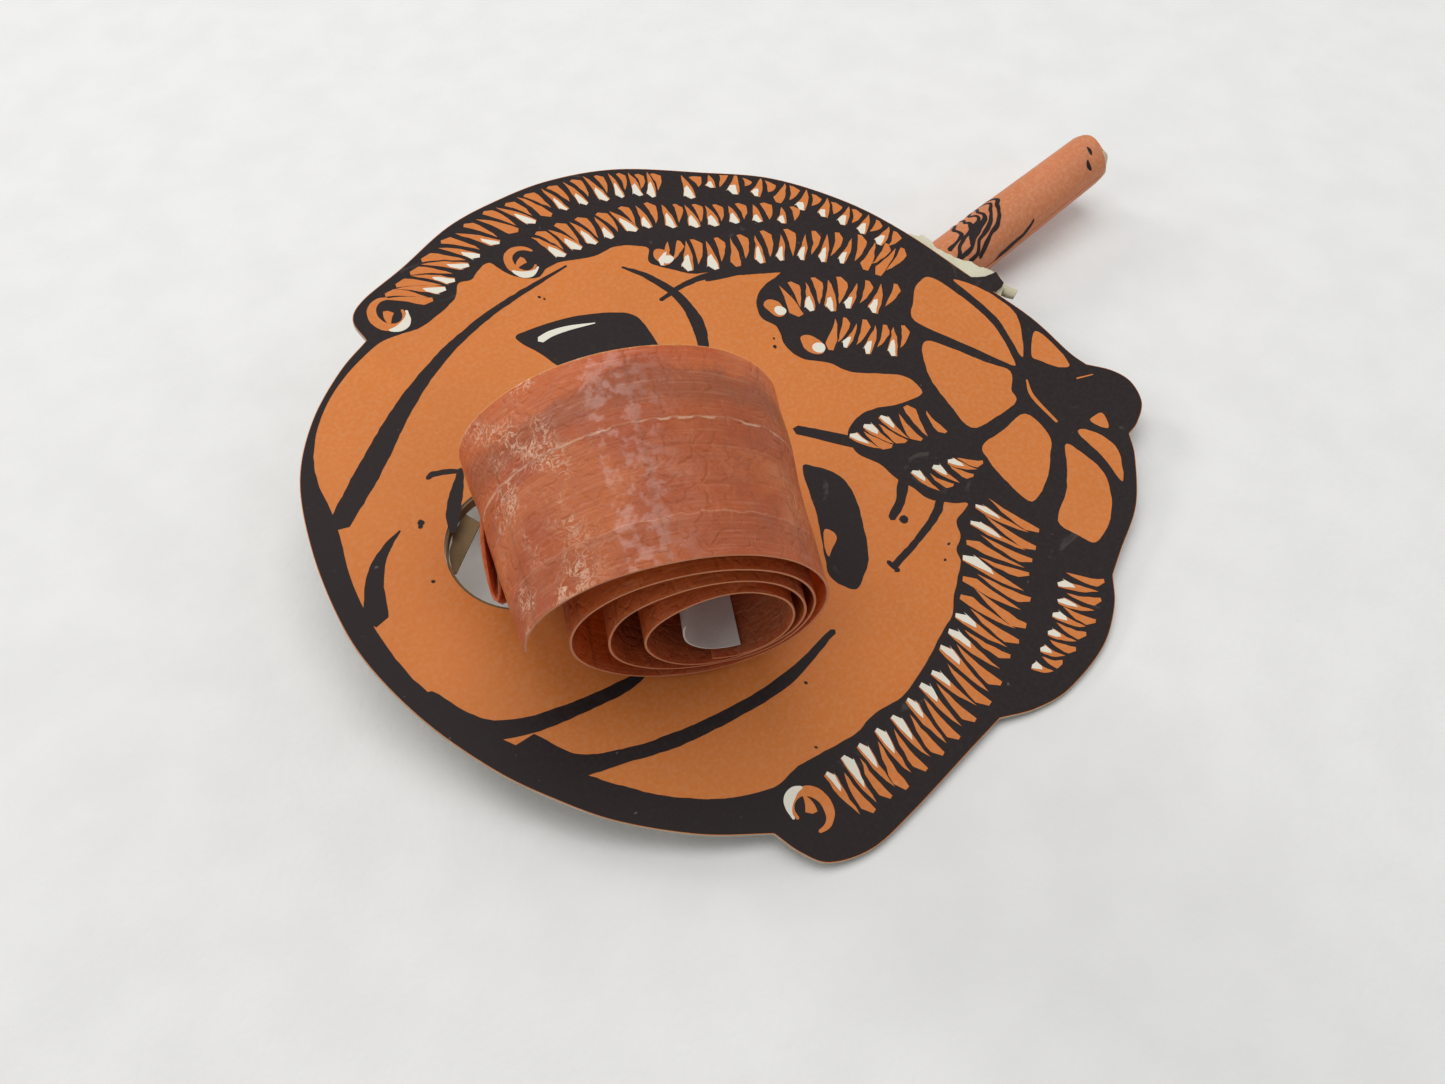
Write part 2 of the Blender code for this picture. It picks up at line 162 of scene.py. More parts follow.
# Twisted plaits: line, count, reach at both ends, lean at both ends, and the side its tips face
PLAITS = [
    ([(18, 44.8), (24, 46.4), (31, 48.6), (40, 49.8), (48, 49.6), (56, 47.8), (63, 44.8), (68, 41.2)],
     15, (8.4, 6.6), (0.62, 0.1), -1),
    ([(70, 38.8), (76, 36.6), (80.5, 32.4), (84, 27.6), (87, 22.6), (89.4, 17.6), (91.4, 12.6), (92.2, 6.8)],
     10, (5.8, 5.2), (-0.2, 0.2), -1),
    ([(42.5, 41.4), (48, 40.8), (54, 39.2), (60, 37.6), (66, 33.6), (71, 30.2), (77, 26.6), (83, 21.4)],
     12, (7.4, 4.0), (0.3, 0.0), -1),
    ([(57.8, 29.6), (62, 25.6), (67.5, 22.6), (73.4, 19.6), (78.6, 16.2), (83, 12.4), (87, 7.6), (89, 3.6)],
     11, (6.2, 7.6), (-0.1, -0.2), -1),
    ([(67.4, 9.4), (71.6, 7.8), (75.6, 5.4), (79.4, 2.2), (83.4, -1.8)], 5, (6.8, 7.0), (-0.1, -0.35), -1),
    ([(69, 0.2), (72, -2.6), (75, -6), (78.6, -9)], 4, (7.0, 5.8), (-0.3, -0.3), -1),
    ([(58.4, -19), (62, -19.6), (66, -20.6), (71.6, -23)], 4, (5.6, 6.8), (-0.5, -0.1), 1),
    ([(60.6, -29.8), (64, -31), (67.6, -31.6), (69.6, -31)], 3, (5.6, 4.8), (-0.5, -0.2), 1),
    ([(16.5, -57.2), (24, -57.4), (32, -57.4), (40, -56.4), (48, -53.6), (55, -50), (61.5, -45), (68, -41)],
     17, (7.6, 10.6), (0.1, 0.34), 1),
    ([(51.4, -62.3), (56, -61.3), (60.4, -60), (64.4, -58.4), (68.4, -55.4)], 6, (3.2, 7.2), (-0.3, 0.1), 1),
]
# Curls at the ends of the plaits: centre, radius, direction of the opening in degrees, and whether wound
CURLS = [((15.2, 44.2), 3.9, 60, True), ((38.4, 40.8), 3.6, 20, True), ((57.6, 28.2), 2.5, 0, False),
         ((65.4, 9.0), 2.7, 60, False), ((65.2, -0.2), 3.0, 200, False), ((12.1, -55.6), 3.7, 250, True)]

# Torn paper strip that glues the tube to the back of the card
STRIP_OUTLINE = [(84, 9), (88, 14.5), (93.9, 15), (95, 12.4), (96.3, 8.2), (98.4, 5.8), (98.2, 3.9),
                 (98.9, 0.6), (100.6, -3.4), (101.6, -5.8), (102.4, -7.6), (102.2, -9.9), (97, -12),
                 (87, -9)]

# Black corner of the card's print, left stuck on the strip beyond the card
STRIP_NIB = [(96.4, -5.2), (98.2, -6.6), (99.5, -7.4), (101.9, -7.8), (101.2, -10.3), (98.4, -10.6),
             (96.6, -10.4)]

# Lowest and highest point of the flat papers, measured square to the card's printed side
STRIP_HEIGHTS = (-1.25, -0.95)
NIB_HEIGHTS = (-0.94, 0.012)
FLAP_HEIGHTS = (-2.2, -1.9)
# Torn edge of the kraft flap that crosses the hole
FLAP_TEAR = [(-2.8, 1.4), (0, 3.0), (2.4, 4.8), (4.6, 5.8)]
# Where each printing starts, in layers of ink above the card
INK_BASES = {"black": 0.03, "orange": 1.55, "white": 3.1}

# Mouthpiece
TUBE_RADIUS = 4.75
TUBE_WALL = 1.1
TUBE_START = 18.5
TUBE_BEND = 97.0
TUBE_END = 139.6
TUBE_RISE = radians(6)
TUBE_SIDES = 72
# Glued lap of the rolled sheet, in metres: its middle along and round the tube, and half its size
LAP_MIDDLE = (0.1182, -0.0095, 0.0)
LAP_HALF_SIZE = (0.0195, 0.0018)
# Hair-like lines printed round the tube: the line along and round it, and its widths
TUBE_LINES = [
    ([(115.2, 6.4), (115.4, 4.4), (115.8, 2.4), (114.2, 0.8), (113.4, -0.2), (112.2, -1.4), (110.6, -2.2),
     (108.8, -2.6), (107.2, -3.3), (104.6, -4.7)], (0.3, 0.5, 0.7, 0.8, 0.6, 0.8, 0.9, 0.6, 0.8, 0.9)),
    ([(113.6, 6.4), (113.8, 4.4), (114.2, 2.4), (112.6, 1.0), (111.8, 0.2), (110.6, -0.8), (108.9, -1.6),
     (106.2, -2.2), (104.4, -3.8), (102.4, -4.2)], (0.3, 0.5, 0.6, 0.6, 0.5, 0.7, 0.8, 0.6, 0.7, 0.9)),
    ([(112.2, 6.2), (112.4, 4.2), (111.2, 2.4), (111.0, 1.0), (110.2, 0.2), (108.2, -0.4), (106.2, -1.1),
     (104.6, -2.0), (103.2, -2.6), (100.8, -2.7)], (0.3, 0.5, 0.6, 0.6, 1.0, 1.2, 1.0, 0.6, 0.7, 0.8)),
    ([(110.8, 6.2), (111.2, 4.6), (109.6, 3.2), (110, 1.8), (109.4, 0.9), (106.6, 0.0), (104.4, -0.4),
     (102.5, -1.0), (100.6, -2.6)], (0.3, 0.5, 0.5, 0.6, 0.6, 0.9, 0.6, 0.7, 0.9)),
    ([(108.4, 4.6), (108.2, 3.2), (107.4, 2.2), (107.6, 1.2), (105.8, -0.7), (104.2, -2.0)], (0.3, 0.5, 0.6,
     0.7, 0.9, 0.6)),
    ([(106.8, 5.6), (106.6, 3.7), (104.9, 2.7), (104.8, 1.4), (104.4, 0.3), (102.4, -0.1), (100.4, -0.5)],
     (0.3, 0.5, 0.7, 0.6, 0.7, 0.5, 0.8)),
    ([(104.6, -10.0), (107.4, -8.4), (110.1, -7.3), (113.5, -6.9), (116.2, -6.7), (118.6, -5.5)], (0.6, 0.9,
     1.1, 0.9, 0.8, 0.5)),
    ([(136.6, -0.8), (136.6, -1.7), (136.2, -2.5)], (0.3, 0.8, 0.5)),
    ([(134.8, -3.0), (134.6, -3.9), (134.8, -4.8)], (0.4, 0.9, 0.6)),
]

# Roll: its section runs clockwise from the low left start, six links to a turn
ROLL_PLACE = (CARD_PLACE @ Matrix.Translation((13.4 * MM, -32.3 * MM, 0))
              @ Matrix.Rotation(radians(60) - pi / 2, 4, "Z"))
ROLL_WIDTH = 31.0
LINKS = 22
LINKS_PER_TURN = 6
START_ANGLE = radians(190)
THROAT_HALF_WIDTH = 7.6

# Camera, in millimetres from ORIGIN
CAMERA_PLACE = (-39.65, -95.27, 150.0)


def scene_look(name):
    return getattr(bpy.context.scene, name)


# --- Nodes and materials ---------------------------------------------------------------------

def add_node(tree, kind, inputs=None, **settings):
    """Add a node, set its properties, and link or set its inputs; returns the node."""
    made = tree.nodes.new(kind)
    for name, value in settings.items():
        setattr(made, name, value)
    for key, value in (inputs or {}).items():
        if isinstance(value, bpy.types.NodeSocket):
            tree.links.new(value, made.inputs[key])
        else:
            made.inputs[key].default_value = value
    return made


def math_node(tree, operation, first, second=0.5, clamp=False):
    made = add_node(tree, "ShaderNodeMath", {0: first, 1: second}, operation=operation, use_clamp=clamp)
    return made.outputs[0]


def times(tree, first, second, clamp=False):
    return math_node(tree, "MULTIPLY", first, second, clamp)


def span_node(tree, value, low, high, to_low=0.0, to_high=1.0):
    """Map a value smoothly from one span to another, clamped."""
    inputs = {"Value": value, "From Min": low, "From Max": high, "To Min": to_low, "To Max": to_high}
    return add_node(tree, "ShaderNodeMapRange", inputs, interpolation_type="SMOOTHSTEP").outputs["Result"]


def mix_colour(tree, factor, first, second, blend="MIX"):
    inputs = {0: factor, 6: first, 7: second}
    return add_node(tree, "ShaderNodeMix", inputs, data_type="RGBA", blend_type=blend).outputs[2]


def noise_value(tree, vector, scale, detail=3.0, distortion=0.0):
    inputs = {"Vector": vector, "Scale": scale, "Detail": detail, "Distortion": distortion}
    return add_node(tree, "ShaderNodeTexNoise", inputs).outputs["Fac"]


def new_group(name, sockets_in, sockets_out):
    """Start a shader node group; returns the group, its input node and its output node."""
    group = bpy.data.node_groups.new(name, "ShaderNodeTree")
    for label, kind, default in sockets_in:
        socket = group.interface.new_socket(label, in_out="INPUT", socket_type=kind)
        if default is not None:
            socket.default_value = default
    for label, kind in sockets_out:
        group.interface.new_socket(label, in_out="OUTPUT", socket_type=kind)
    return group, group.nodes.new("NodeGroupInput"), group.nodes.new("NodeGroupOutput")


def paper_fibre_group():
    """Cloudy tone and felted fibre height of uncoated paper and board."""
    group, given, result = new_group(
        "Paper Fibre",
        [("Vector", "NodeSocketVector", None), ("Tone", "NodeSocketColor", (0.8, 0.8, 0.8, 1)),
         ("Stain", "NodeSocketColor", (0.5, 0.4, 0.3, 1)), ("Stain Amount", "NodeSocketFloat", 0.3)],
        [("Colour", "NodeSocketColor"), ("Height", "NodeSocketFloat")])
    vector = given.outputs["Vector"]
    cloud = noise_value(group, vector, 240.0, 4.0)
    fibre = noise_value(group, vector, 2600.0, 3.0, 1.5)
    blotch = span_node(group, noise_value(group, vector, 75.0, 5.0, 0.6), 0.52, 0.72)
    toned = mix_colour(group, span_node(group, cloud, 0.3, 0.7, 0.0, 0.22), given.outputs["Tone"],
                       given.outputs["Stain"])
    spread = times(group, blotch, given.outputs["Stain Amount"])
    stained = mix_colour(group, spread, toned, given.outputs["Stain"])
    fine = mix_colour(group, span_node(group, fibre, 0.3, 0.7, 0.0, 0.5), stained, stained, "MULTIPLY")
    group.links.new(mix_colour(group, 0.25, stained, fine), result.inputs["Colour"])
    group.links.new(fibre, result.inputs["Height"])
    return group


def printed_ink_group():
    """Flat ink with slight mottle, fine specks where it missed the paper, and rubbed patches."""
    group, given, result = new_group(
        "Printed Ink",
        [("Vector", "NodeSocketVector", None), ("Ink", "NodeSocketColor", (0.5, 0.5, 0.5, 1)),
         ("Bare Paper", "NodeSocketColor", (0.8, 0.75, 0.6, 1)),
         ("Dirt", "NodeSocketColor", (0.2, 0.1, 0.05, 1)),
         ("Mottle", "NodeSocketFloat", 0.2), ("Wear", "NodeSocketFloat", 0.3)],
        [("Colour", "NodeSocketColor"), ("Roughness", "NodeSocketFloat"), ("Height", "NodeSocketFloat")])
    vector = given.outputs["Vector"]
    mottle = given.outputs["Mottle"]
    wear = given.outputs["Wear"]
    cloud = noise_value(group, vector, 60.0, 5.0, 0.4)
    grain = noise_value(group, vector, 1500.0, 4.0)
    dark = times(group, span_node(group, cloud, 0.35, 0.75), mottle)
    pale = times(group, span_node(group, grain, 0.35, 0.75), mottle)
    tone = mix_colour(group, dark, given.outputs["Ink"], given.outputs["Dirt"])
    light = mix_colour(group, pale, tone, given.outputs["Bare Paper"])
    speck = span_node(group, noise_value(group, vector, 900.0, 2.0), 0.74, 0.80)
    rubbed = span_node(group, noise_value(group, vector, 130.0, 6.0, 1.2), 0.66, 0.74)
    missed = math_node(group, "MAXIMUM", speck, times(group, rubbed, 0.4))
    bare = times(group, missed, wear, clamp=True)
    soiled = times(group, span_node(group, noise_value(group, vector, 420.0, 2.0), 0.76, 0.80), wear)
    worn = mix_colour(group, bare, light, given.outputs["Bare Paper"])
    group.links.new(mix_colour(group, soiled, worn, given.outputs["Dirt"]), result.inputs["Colour"])
    group.links.new(span_node(group, grain, 0.3, 0.7, 0.42, 0.62), result.inputs["Roughness"])
    group.links.new(noise_value(group, vector, 2200.0, 3.0), result.inputs["Height"])
    return group


def crumple_group():
    """Fine folds and fibres of thin glazed paper, with a mask of its crinkles, which the roll paints pale: faint
    whitening, and a painted highlight where light falls.
    """
    group, given, result = new_group(
        "Crumpled Glaze", [("Vector", "NodeSocketVector", None), ("Scale", "NodeSocketFloat", 300.0)],
        [("Height", "NodeSocketFloat"), ("Crinkle", "NodeSocketFloat"), ("Cloud", "NodeSocketFloat")])
    vector = given.outputs["Vector"]
    scale = given.outputs["Scale"]
    warp = add_node(group, "ShaderNodeTexNoise", {"Vector": vector, "Scale": scale, "Detail": 3.0})
    bent = add_node(group, "ShaderNodeVectorMath", {0: warp.outputs["Color"]}, operation="SCALE")
    bent.inputs["Scale"].default_value = 0.006
    moved = add_node(group, "ShaderNodeVectorMath", {0: vector, 1: bent.outputs[0]}, operation="ADD").outputs[0]
    cells = add_node(group, "ShaderNodeTexVoronoi", {"Vector": moved, "Scale": scale},
                     feature="DISTANCE_TO_EDGE")
    folds = span_node(group, cells.outputs["Distance"], 0.0, 0.22)
    soft = noise_value(group, vector, 70.0, 2.0, 0.4)
    tiny = noise_value(group, vector, 1500.0, 4.0)
    patch = span_node(group, noise_value(group, vector, 120.0, 5.0, 0.6), 0.48, 0.62)
    tangle = math_node(group, "SUBTRACT", noise_value(group, vector, 620.0, 4.0, 1.6), 0.5)
    ridged = span_node(group, math_node(group, "ABSOLUTE", tangle), 0.0, 0.07, 1.0, 0.0)
    height = math_node(group, "ADD", times(group, folds, 0.16), times(group, soft, 0.5))
    height = math_node(group, "ADD", height, times(group, tiny, 0.07))
    group.links.new(height, result.inputs["Height"])
    group.links.new(times(group, ridged, patch), result.inputs["Crinkle"])
    group.links.new(noise_value(group, vector, 80.0, 6.0, 0.6), result.inputs["Cloud"])
    return group


def start_material(name):
    """A new material with its tree, Principled shader and object coordinates."""
    material = bpy.data.materials.new(name)
    material.use_nodes = True
    tree = material.node_tree
    shader = tree.nodes["Principled BSDF"]
    place = add_node(tree, "ShaderNodeTexCoord").outputs["Object"]
    return material, tree, shader, place


def add_bump(tree, shader, height, distance, strength=0.6):
    bump = add_node(tree, "ShaderNodeBump", {"Height": height, "Distance": distance, "Strength": strength})
    tree.links.new(bump.outputs["Normal"], shader.inputs["Normal"])


def place_group(tree, group, inputs):
    return add_node(tree, "ShaderNodeGroup", inputs, node_tree=group)


def ink_material(name, ink, bare, dirt, mottle, wear, gloss=0.35):
    material, tree, shader, place = start_material(name)
    group = place_group(tree, groups["ink"], {"Vector": place, "Ink": (*ink, 1), "Bare Paper": (*bare, 1),
                                             "Dirt": (*dirt, 1), "Mottle": mottle, "Wear": wear})
    tree.links.new(group.outputs["Colour"], shader.inputs["Base Color"])
    tree.links.new(group.outputs["Roughness"], shader.inputs["Roughness"])
    shader.inputs["Specular IOR Level"].default_value = gloss
    add_bump(tree, shader, group.outputs["Height"], 0.00004)
    return material


def paper_material(name, tone, stain, amount, roughness=0.85, bump=0.00008):
    material, tree, shader, place = start_material(name)
    group = place_group(tree, groups["fibre"], {"Vector": place, "Tone": (*tone, 1), "Stain": (*stain, 1),
                                               "Stain Amount": amount})
    tree.links.new(group.outputs["Colour"], shader.inputs["Base Color"])
    shader.inputs["Roughness"].default_value = roughness
    shader.inputs["Specular IOR Level"].default_value = 0.3
    add_bump(tree, shader, group.outputs["Height"], bump)
    return material


def band_mask(tree, value, low, high, soft):
    """1 between two values of a coordinate, falling off over a soft margin."""
    rise = span_node(tree, value, low - soft, low + soft)
    return times(tree, rise, span_node(tree, value, high - soft, high + soft, 1.0, 0.0))


def waxed_material(look):
    """Glazed paper of the roll: finely crinkled, streaked along its run, with one lapped seam."""
    material, tree, shader, place = start_material("waxed_roll_paper")
    crumple = place_group(tree, groups["crumple"], {"Vector": place, "Scale": 330.0})
    laid = add_node(tree, "ShaderNodeUVMap", uv_map="paper_run").outputs["UV"]
    split = add_node(tree, "ShaderNodeSeparateXYZ", {0: laid})
    along = add_node(tree, "ShaderNodeMapping", {"Vector": laid, "Scale": (2.2, 42, 1)}).outputs[0]
    streaks = noise_value(tree, along, 2.0, 5.0, 0.3)
    shake = math_node(tree, "SUBTRACT", noise_value(tree, place, 520.0, 6.0), 0.5)
    ragged = math_node(tree, "ADD", split.outputs["Y"], times(tree, shake, 0.045))
    drift = times(tree, math_node(tree, "SUBTRACT", crumple.outputs["Cloud"], 0.5), 0.5)
    cloudy = math_node(tree, "ADD", split.outputs["Y"], drift)
    seam = band_mask(tree, ragged, 0.612, 0.624, 0.003)
    edge = band_mask(tree, ragged, 0.186, 0.192, 0.003)
    lap = band_mask(tree, cloudy, 0.68, 0.88, 0.05)
    near = span_node(tree, ragged, 0.17, 0.2, 1.0, 0.0)
    cloud = span_node(tree, crumple.outputs["Cloud"], 0.36, 0.64)
    base = mix_colour(tree, cloud, (*look.paper_deep, 1), (*look.paper, 1))
    streaky = mix_colour(tree, span_node(tree, streaks, 0.5, 0.75, 0.0, 0.35), base, (*look.paper_lap, 1))
    plies = times(tree, math_node(tree, "MAXIMUM", lap, times(tree, near, 0.5)), 0.62)
    lapped = mix_colour(tree, plies, streaky, (*look.paper_lap, 1))
    light = times(tree, span_node(tree, streaks, 0.5, 0.25), 0.16)
    # Painted highlight: crinkles near the roll's start, where light falls, are painted far paler than the faint
    # whitening they get elsewhere
    lit_crinkle_band = band_mask(tree, split.outputs["X"], 0.14, 0.52, 0.1)
    strength = span_node(tree, lit_crinkle_band, 0.0, 1.0, 0.08, 0.8)
    pale_seam = times(tree, seam, span_node(tree, shake, -0.1, 0.1, 0.15, 0.6))
    pale_marks_and_highlight = math_node(tree, "MAXIMUM", pale_seam, times(tree, crumple.outputs["Crinkle"], strength))
    pale_marks_and_highlight = math_node(tree, "MAXIMUM", pale_marks_and_highlight, times(tree, edge, 0.25))
    pale_marks_and_highlight = math_node(tree, "MAXIMUM", pale_marks_and_highlight, light, clamp=True)
    tree.links.new(mix_colour(tree, pale_marks_and_highlight, lapped, (*look.paper_pale_and_highlight, 1)), shader.inputs["Base Color"])
    waxy = noise_value(tree, place, 260.0, 5.0)
    tree.links.new(span_node(tree, waxy, 0.35, 0.65, 0.34, 0.6), shader.inputs["Roughness"])
    glint = span_node(tree, noise_value(tree, place, 640.0, 3.0), 0.44, 0.6, 0.04, 1.0)
    glazed = times(tree, glint, band_mask(tree, split.outputs["X"], 0.34, 0.78, 0.12))
    tree.links.new(times(tree, glazed, 0.9), shader.inputs["Coat Weight"])
    shader.inputs["Specular IOR Level"].default_value = 0.25
    shader.inputs["Coat Roughness"].default_value = 0.08
    shader.inputs["Subsurface Weight"].default_value = 0.5
    shader.inputs["Subsurface Radius"].default_value = (1.0, 0.5, 0.22)
    shader.inputs["Subsurface Scale"].default_value = 0.003
    height = math_node(tree, "ADD", crumple.outputs["Height"], times(tree, seam, 0.12))
    height = math_node(tree, "ADD", height, times(tree, streaks, 0.12))
    add_bump(tree, shader, height, 0.0009, 0.8)
    return material


def wood_material():
    material, tree, shader, place = start_material("turned_softwood")
    stretched = add_node(tree, "ShaderNodeMapping", {"Vector": place, "Scale": (0.12, 1, 1)}).outputs[0]
    rings = noise_value(tree, stretched, 1400.0, 4.0, 0.8)
    pale, dark = (0.62, 0.45, 0.26, 1), (0.42, 0.27, 0.13, 1)
    tree.links.new(mix_colour(tree, span_node(tree, rings, 0.3, 0.7), pale, dark), shader.inputs["Base Color"])
    shader.inputs["Roughness"].default_value = 0.7
    add_bump(tree, shader, rings, 0.00008)
    return material


def brass_material():
    material, tree, shader, place = start_material("rolled_brass")
    drawn = add_node(tree, "ShaderNodeMapping", {"Vector": place, "Scale": (0.05, 1, 1)}).outputs[0]
    lines = noise_value(tree, drawn, 5000.0, 2.0)
    pale, dark = (0.76, 0.55, 0.24, 1), (0.6, 0.42, 0.18, 1)
    tree.links.new(mix_colour(tree, span_node(tree, lines, 0.3, 0.7), pale, dark), shader.inputs["Base Color"])
    shader.inputs["Metallic"].default_value = 1.0
    tree.links.new(span_node(tree, lines, 0.3, 0.7, 0.28, 0.45), shader.inputs["Roughness"])
    return material


groups = {}
materials = {}


def build_materials():
    groups.update(fibre=paper_fibre_group(), ink=printed_ink_group(), crumple=crumple_group())
    card = scene_look("blowout_card")
    roll = scene_look("blowout_roll")
    tube = scene_look("blowout_tube")
    cream = tuple(card.bare_paper)
    dirt = (0.10, 0.045, 0.02)
    materials.update(
        orange=ink_material("orange_ink", card.orange_ink, cream, (0.42, 0.13, 0.025), 0.14, 0.2, 0.15),
        black=ink_material("black_ink", card.black_ink, (0.30, 0.25, 0.21), (0.012, 0.008, 0.008), 0.03, 0.3,
                           0.1),
        white=ink_material("unprinted_white", card.white_paper, (0.88, 0.84, 0.72), (0.45, 0.36, 0.22), 0.12,
                           0.15),
        edge=paper_material("grey_board_edge", (0.47, 0.43, 0.35), (0.20, 0.16, 0.12), 0.5),
        back=paper_material("grey_board_back", (0.50, 0.45, 0.36), (0.33, 0.25, 0.16), 0.6),
        # Kraft darker than its own brown: painted shade on the collar and flap inside the card's hole; the
        # squeaker's seat takes it too
        kraft=paper_material("kraft_paper", (0.22, 0.145, 0.07), (0.08, 0.05, 0.025), 0.6, 0.95),
        cream=paper_material("torn_cream_paper", (0.70, 0.66, 0.50), (0.45, 0.36, 0.20), 0.45, 0.85, 0.0002),
        seal=paper_material("white_seal_paper", (0.66, 0.62, 0.57), (0.45, 0.38, 0.32), 0.35),
        # The rim's pale tone is partly the cut paper's own paler edge and partly a painted highlight along the
        # sheets' edges
        rim=paper_material("waxed_paper_rim", tuple(roll.paper_rim_and_highlight), (0.42, 0.14, 0.07), 0.5, 0.6),
        tube=ink_material("rolled_orange_paper", tube.paper, (0.70, 0.36, 0.20), (0.40, 0.15, 0.045), 0.35, 0.12,
                          0.25),
        tube_tip=paper_material("bare_tube_end", (0.66, 0.52, 0.36), (0.30, 0.17, 0.08), 0.5),
        waxed=waxed_material(roll), wood=wood_material(), brass=brass_material())


# --- Flat shapes -----------------------------------------------------------------------------

def smooth_run(points, steps):
    """Points of a Catmull-Rom curve through a run, without its last point."""
    chain = [2 * points[0] - points[1], *points, 2 * points[-1] - points[-2]]
    return catmull_points(chain, steps)


def smooth_loop(points, steps=4):
    """Points of a closed Catmull-Rom curve."""
    flat = [Vector(p) for p in points]
    return catmull_points([flat[-1], *flat, flat[0], flat[1]], steps)


def catmull_points(chain, steps):
    curve = []
    for i in range(1, len(chain) - 2):
        a, b, c, d = chain[i - 1:i + 3]
        for step in range(steps):
            t = step / steps
            curve.append(0.5 * (2 * b + (c - a) * t + (2 * a - 5 * b + 4 * c - d) * t ** 2
                                + (3 * b - a - 3 * c + d) * t ** 3))
    return curve


def card_outline(steps=8):
    points = []
    for run in OUTLINE_RUNS:
        points += smooth_run([Vector(p) for p in run], steps)
    return points


def inset_loop(points, distance):
    """Move each point of a clockwise or anticlockwise loop inwards."""
    area = sum(a.cross(b) for a, b in zip(points, points[1:] + points[:1]))
    turn = 1 if area > 0 else -1
    moved = []
    for before, point, after in zip(points[-1:] + points[:-1], points, points[1:] + points[:1]):
        along = (after - before).normalized()
        moved.append(point + Vector((-along.y, along.x)) * distance * turn)
    return moved


def circle_points(centre, radius, sides=48):
    turns = [2 * pi * i / sides for i in range(sides)]
    return [Vector(centre) + Vector((cos(turn), sin(turn))) * radius for turn in turns]


def rough_edge(points, amount, scale=0.8):
    """Shake a loop by a smooth noise, as ink that crept into the paper."""
    moved = []
    for point in points:
        x, y = point.x * scale, point.y * scale
        moved.append(point + Vector((noise.noise((x, y, 3.1)), noise.noise((x, y, 8.7)))) * amount)
    return moved


def stroke_points(points, widths, steps=5):
    """Outline of a brush stroke that follows a line, with its own width at each point."""
    spine = [Vector((*p, w)) for p, w in zip(points, widths)]
    curve = smooth_run(spine, steps) + [spine[-1]]
    left, right = [], []
    for i, point in enumerate(curve):
        along = (curve[min(i + 1, len(curve) - 1)] - curve[max(i - 1, 0)]).to_2d().normalized()
        side = Vector((-along.y, along.x)) * max(point.z, 0.12) / 2
        left.append(point.to_2d() + side)
        right.append(point.to_2d() - side)
    front = (curve[-1] - curve[-2]).to_2d().normalized() * max(curve[-1].z, 0.1) * 0.4
    back = (curve[0] - curve[1]).to_2d().normalized() * max(curve[0].z, 0.1) * 0.4
    return left + [curve[-1].to_2d() + front] + right[::-1] + [curve[0].to_2d() + back]


def leaf_points(root, head, width, bend=0.0, start=0.0, fill=1.0):
    """A cut wedge from a pointed root to a wide slanting head, bent to one side.

    With start and fill it is a smaller wedge that shares the head: it begins at that share of the length
    and takes up that part of the width.
    """
    along = head - root
    across = Vector((-along.y, along.x)).normalized()
    corner = 0.97
    runs = [start + (corner - start) * i / 6 for i in range(7)]
    if start:
        left = [(run, width / 2 * ((run - start) / (corner - start) * 0.9 * fill)) for run in runs]
        right = [(run, -width / 2 * (run * fill) ** 0.9) for run in runs[::-1]]
    else:
        left = [(run, width / 2 * run ** 0.75) for run in runs]
        right = [(run, -half) for run, half in left[::-1]]
    right[0] = (right[0][0] - 0.13, right[0][1] * 0.75)
    profile = [*left, (1.0, width * 0.12), *right[:-1]]
    return [root + along * run + across * (half + bend * sin(pi * run)) for run, half in profile]


def keep_inside(points, margin=0.45):
    """Pull points that reach past the card's edge back towards its middle."""
    middle = Vector((40, -5))
    edge = card_outline()
    kept = []
    for point in points:
        nearest = min(edge, key=lambda p: (p - point).length)
        room = (nearest - middle).length - margin
        out = point - middle
        kept.append(middle + out * min(1, room / out.length))
    return kept


def raise_faces(bm, faces, height):
    """Extrude flat faces upwards into a closed plate."""
    raised = bmesh.ops.extrude_face_region(bm, geom=faces)
    moved = [item for item in raised["geom"] if isinstance(item, bmesh.types.BMVert)]
    bmesh.ops.translate(bm, verts=moved, vec=(0, 0, height))


def add_plate(bm, loops, low, high):
    """Add a flat plate between two heights: the first loop is its edge, the others are holes."""
    edges = []
    for points in loops:
        verts = [bm.verts.new((p.x * MM, p.y * MM, low * MM)) for p in points]
        edges += [bm.edges.new((verts[i - 1], verts[i])) for i in range(len(verts))]
    filled = bmesh.ops.triangle_fill(bm, use_beauty=True, edges=edges)
    faces = [item for item in filled["geom"] if isinstance(item, bmesh.types.BMFace)]
    raise_faces(bm, faces, (high - low) * MM)


def lay_on_card(bm):
    """Move plates from the plane they are drawn in on to the leaning card."""
    bmesh.ops.recalc_face_normals(bm, faces=bm.faces)
    bmesh.ops.transform(bm, matrix=CARD_PLACE, verts=bm.verts)


def finish_piece(name, bm, finishes, body, smooth=None, replaced=()):
    """Turn a bmesh that is already in place into a piece, which rides on a body unless that is None."""
    mesh = bpy.data.meshes.new(name)
    bm.to_mesh(mesh)
    bm.free()
    for finish in finishes:
        mesh.materials.append(materials[finish])
    if smooth is not None:
        mesh.shade_smooth()
        mesh.set_sharp_from_angle(angle=radians(smooth))
    piece = bpy.data.objects.new(name, mesh)
    bpy.context.scene.collection.objects.link(piece)
    if replaced:
        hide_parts(*replaced)
    if body:
        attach(piece, body)
    return piece


# --- Card and printing -----------------------------------------------------------------------

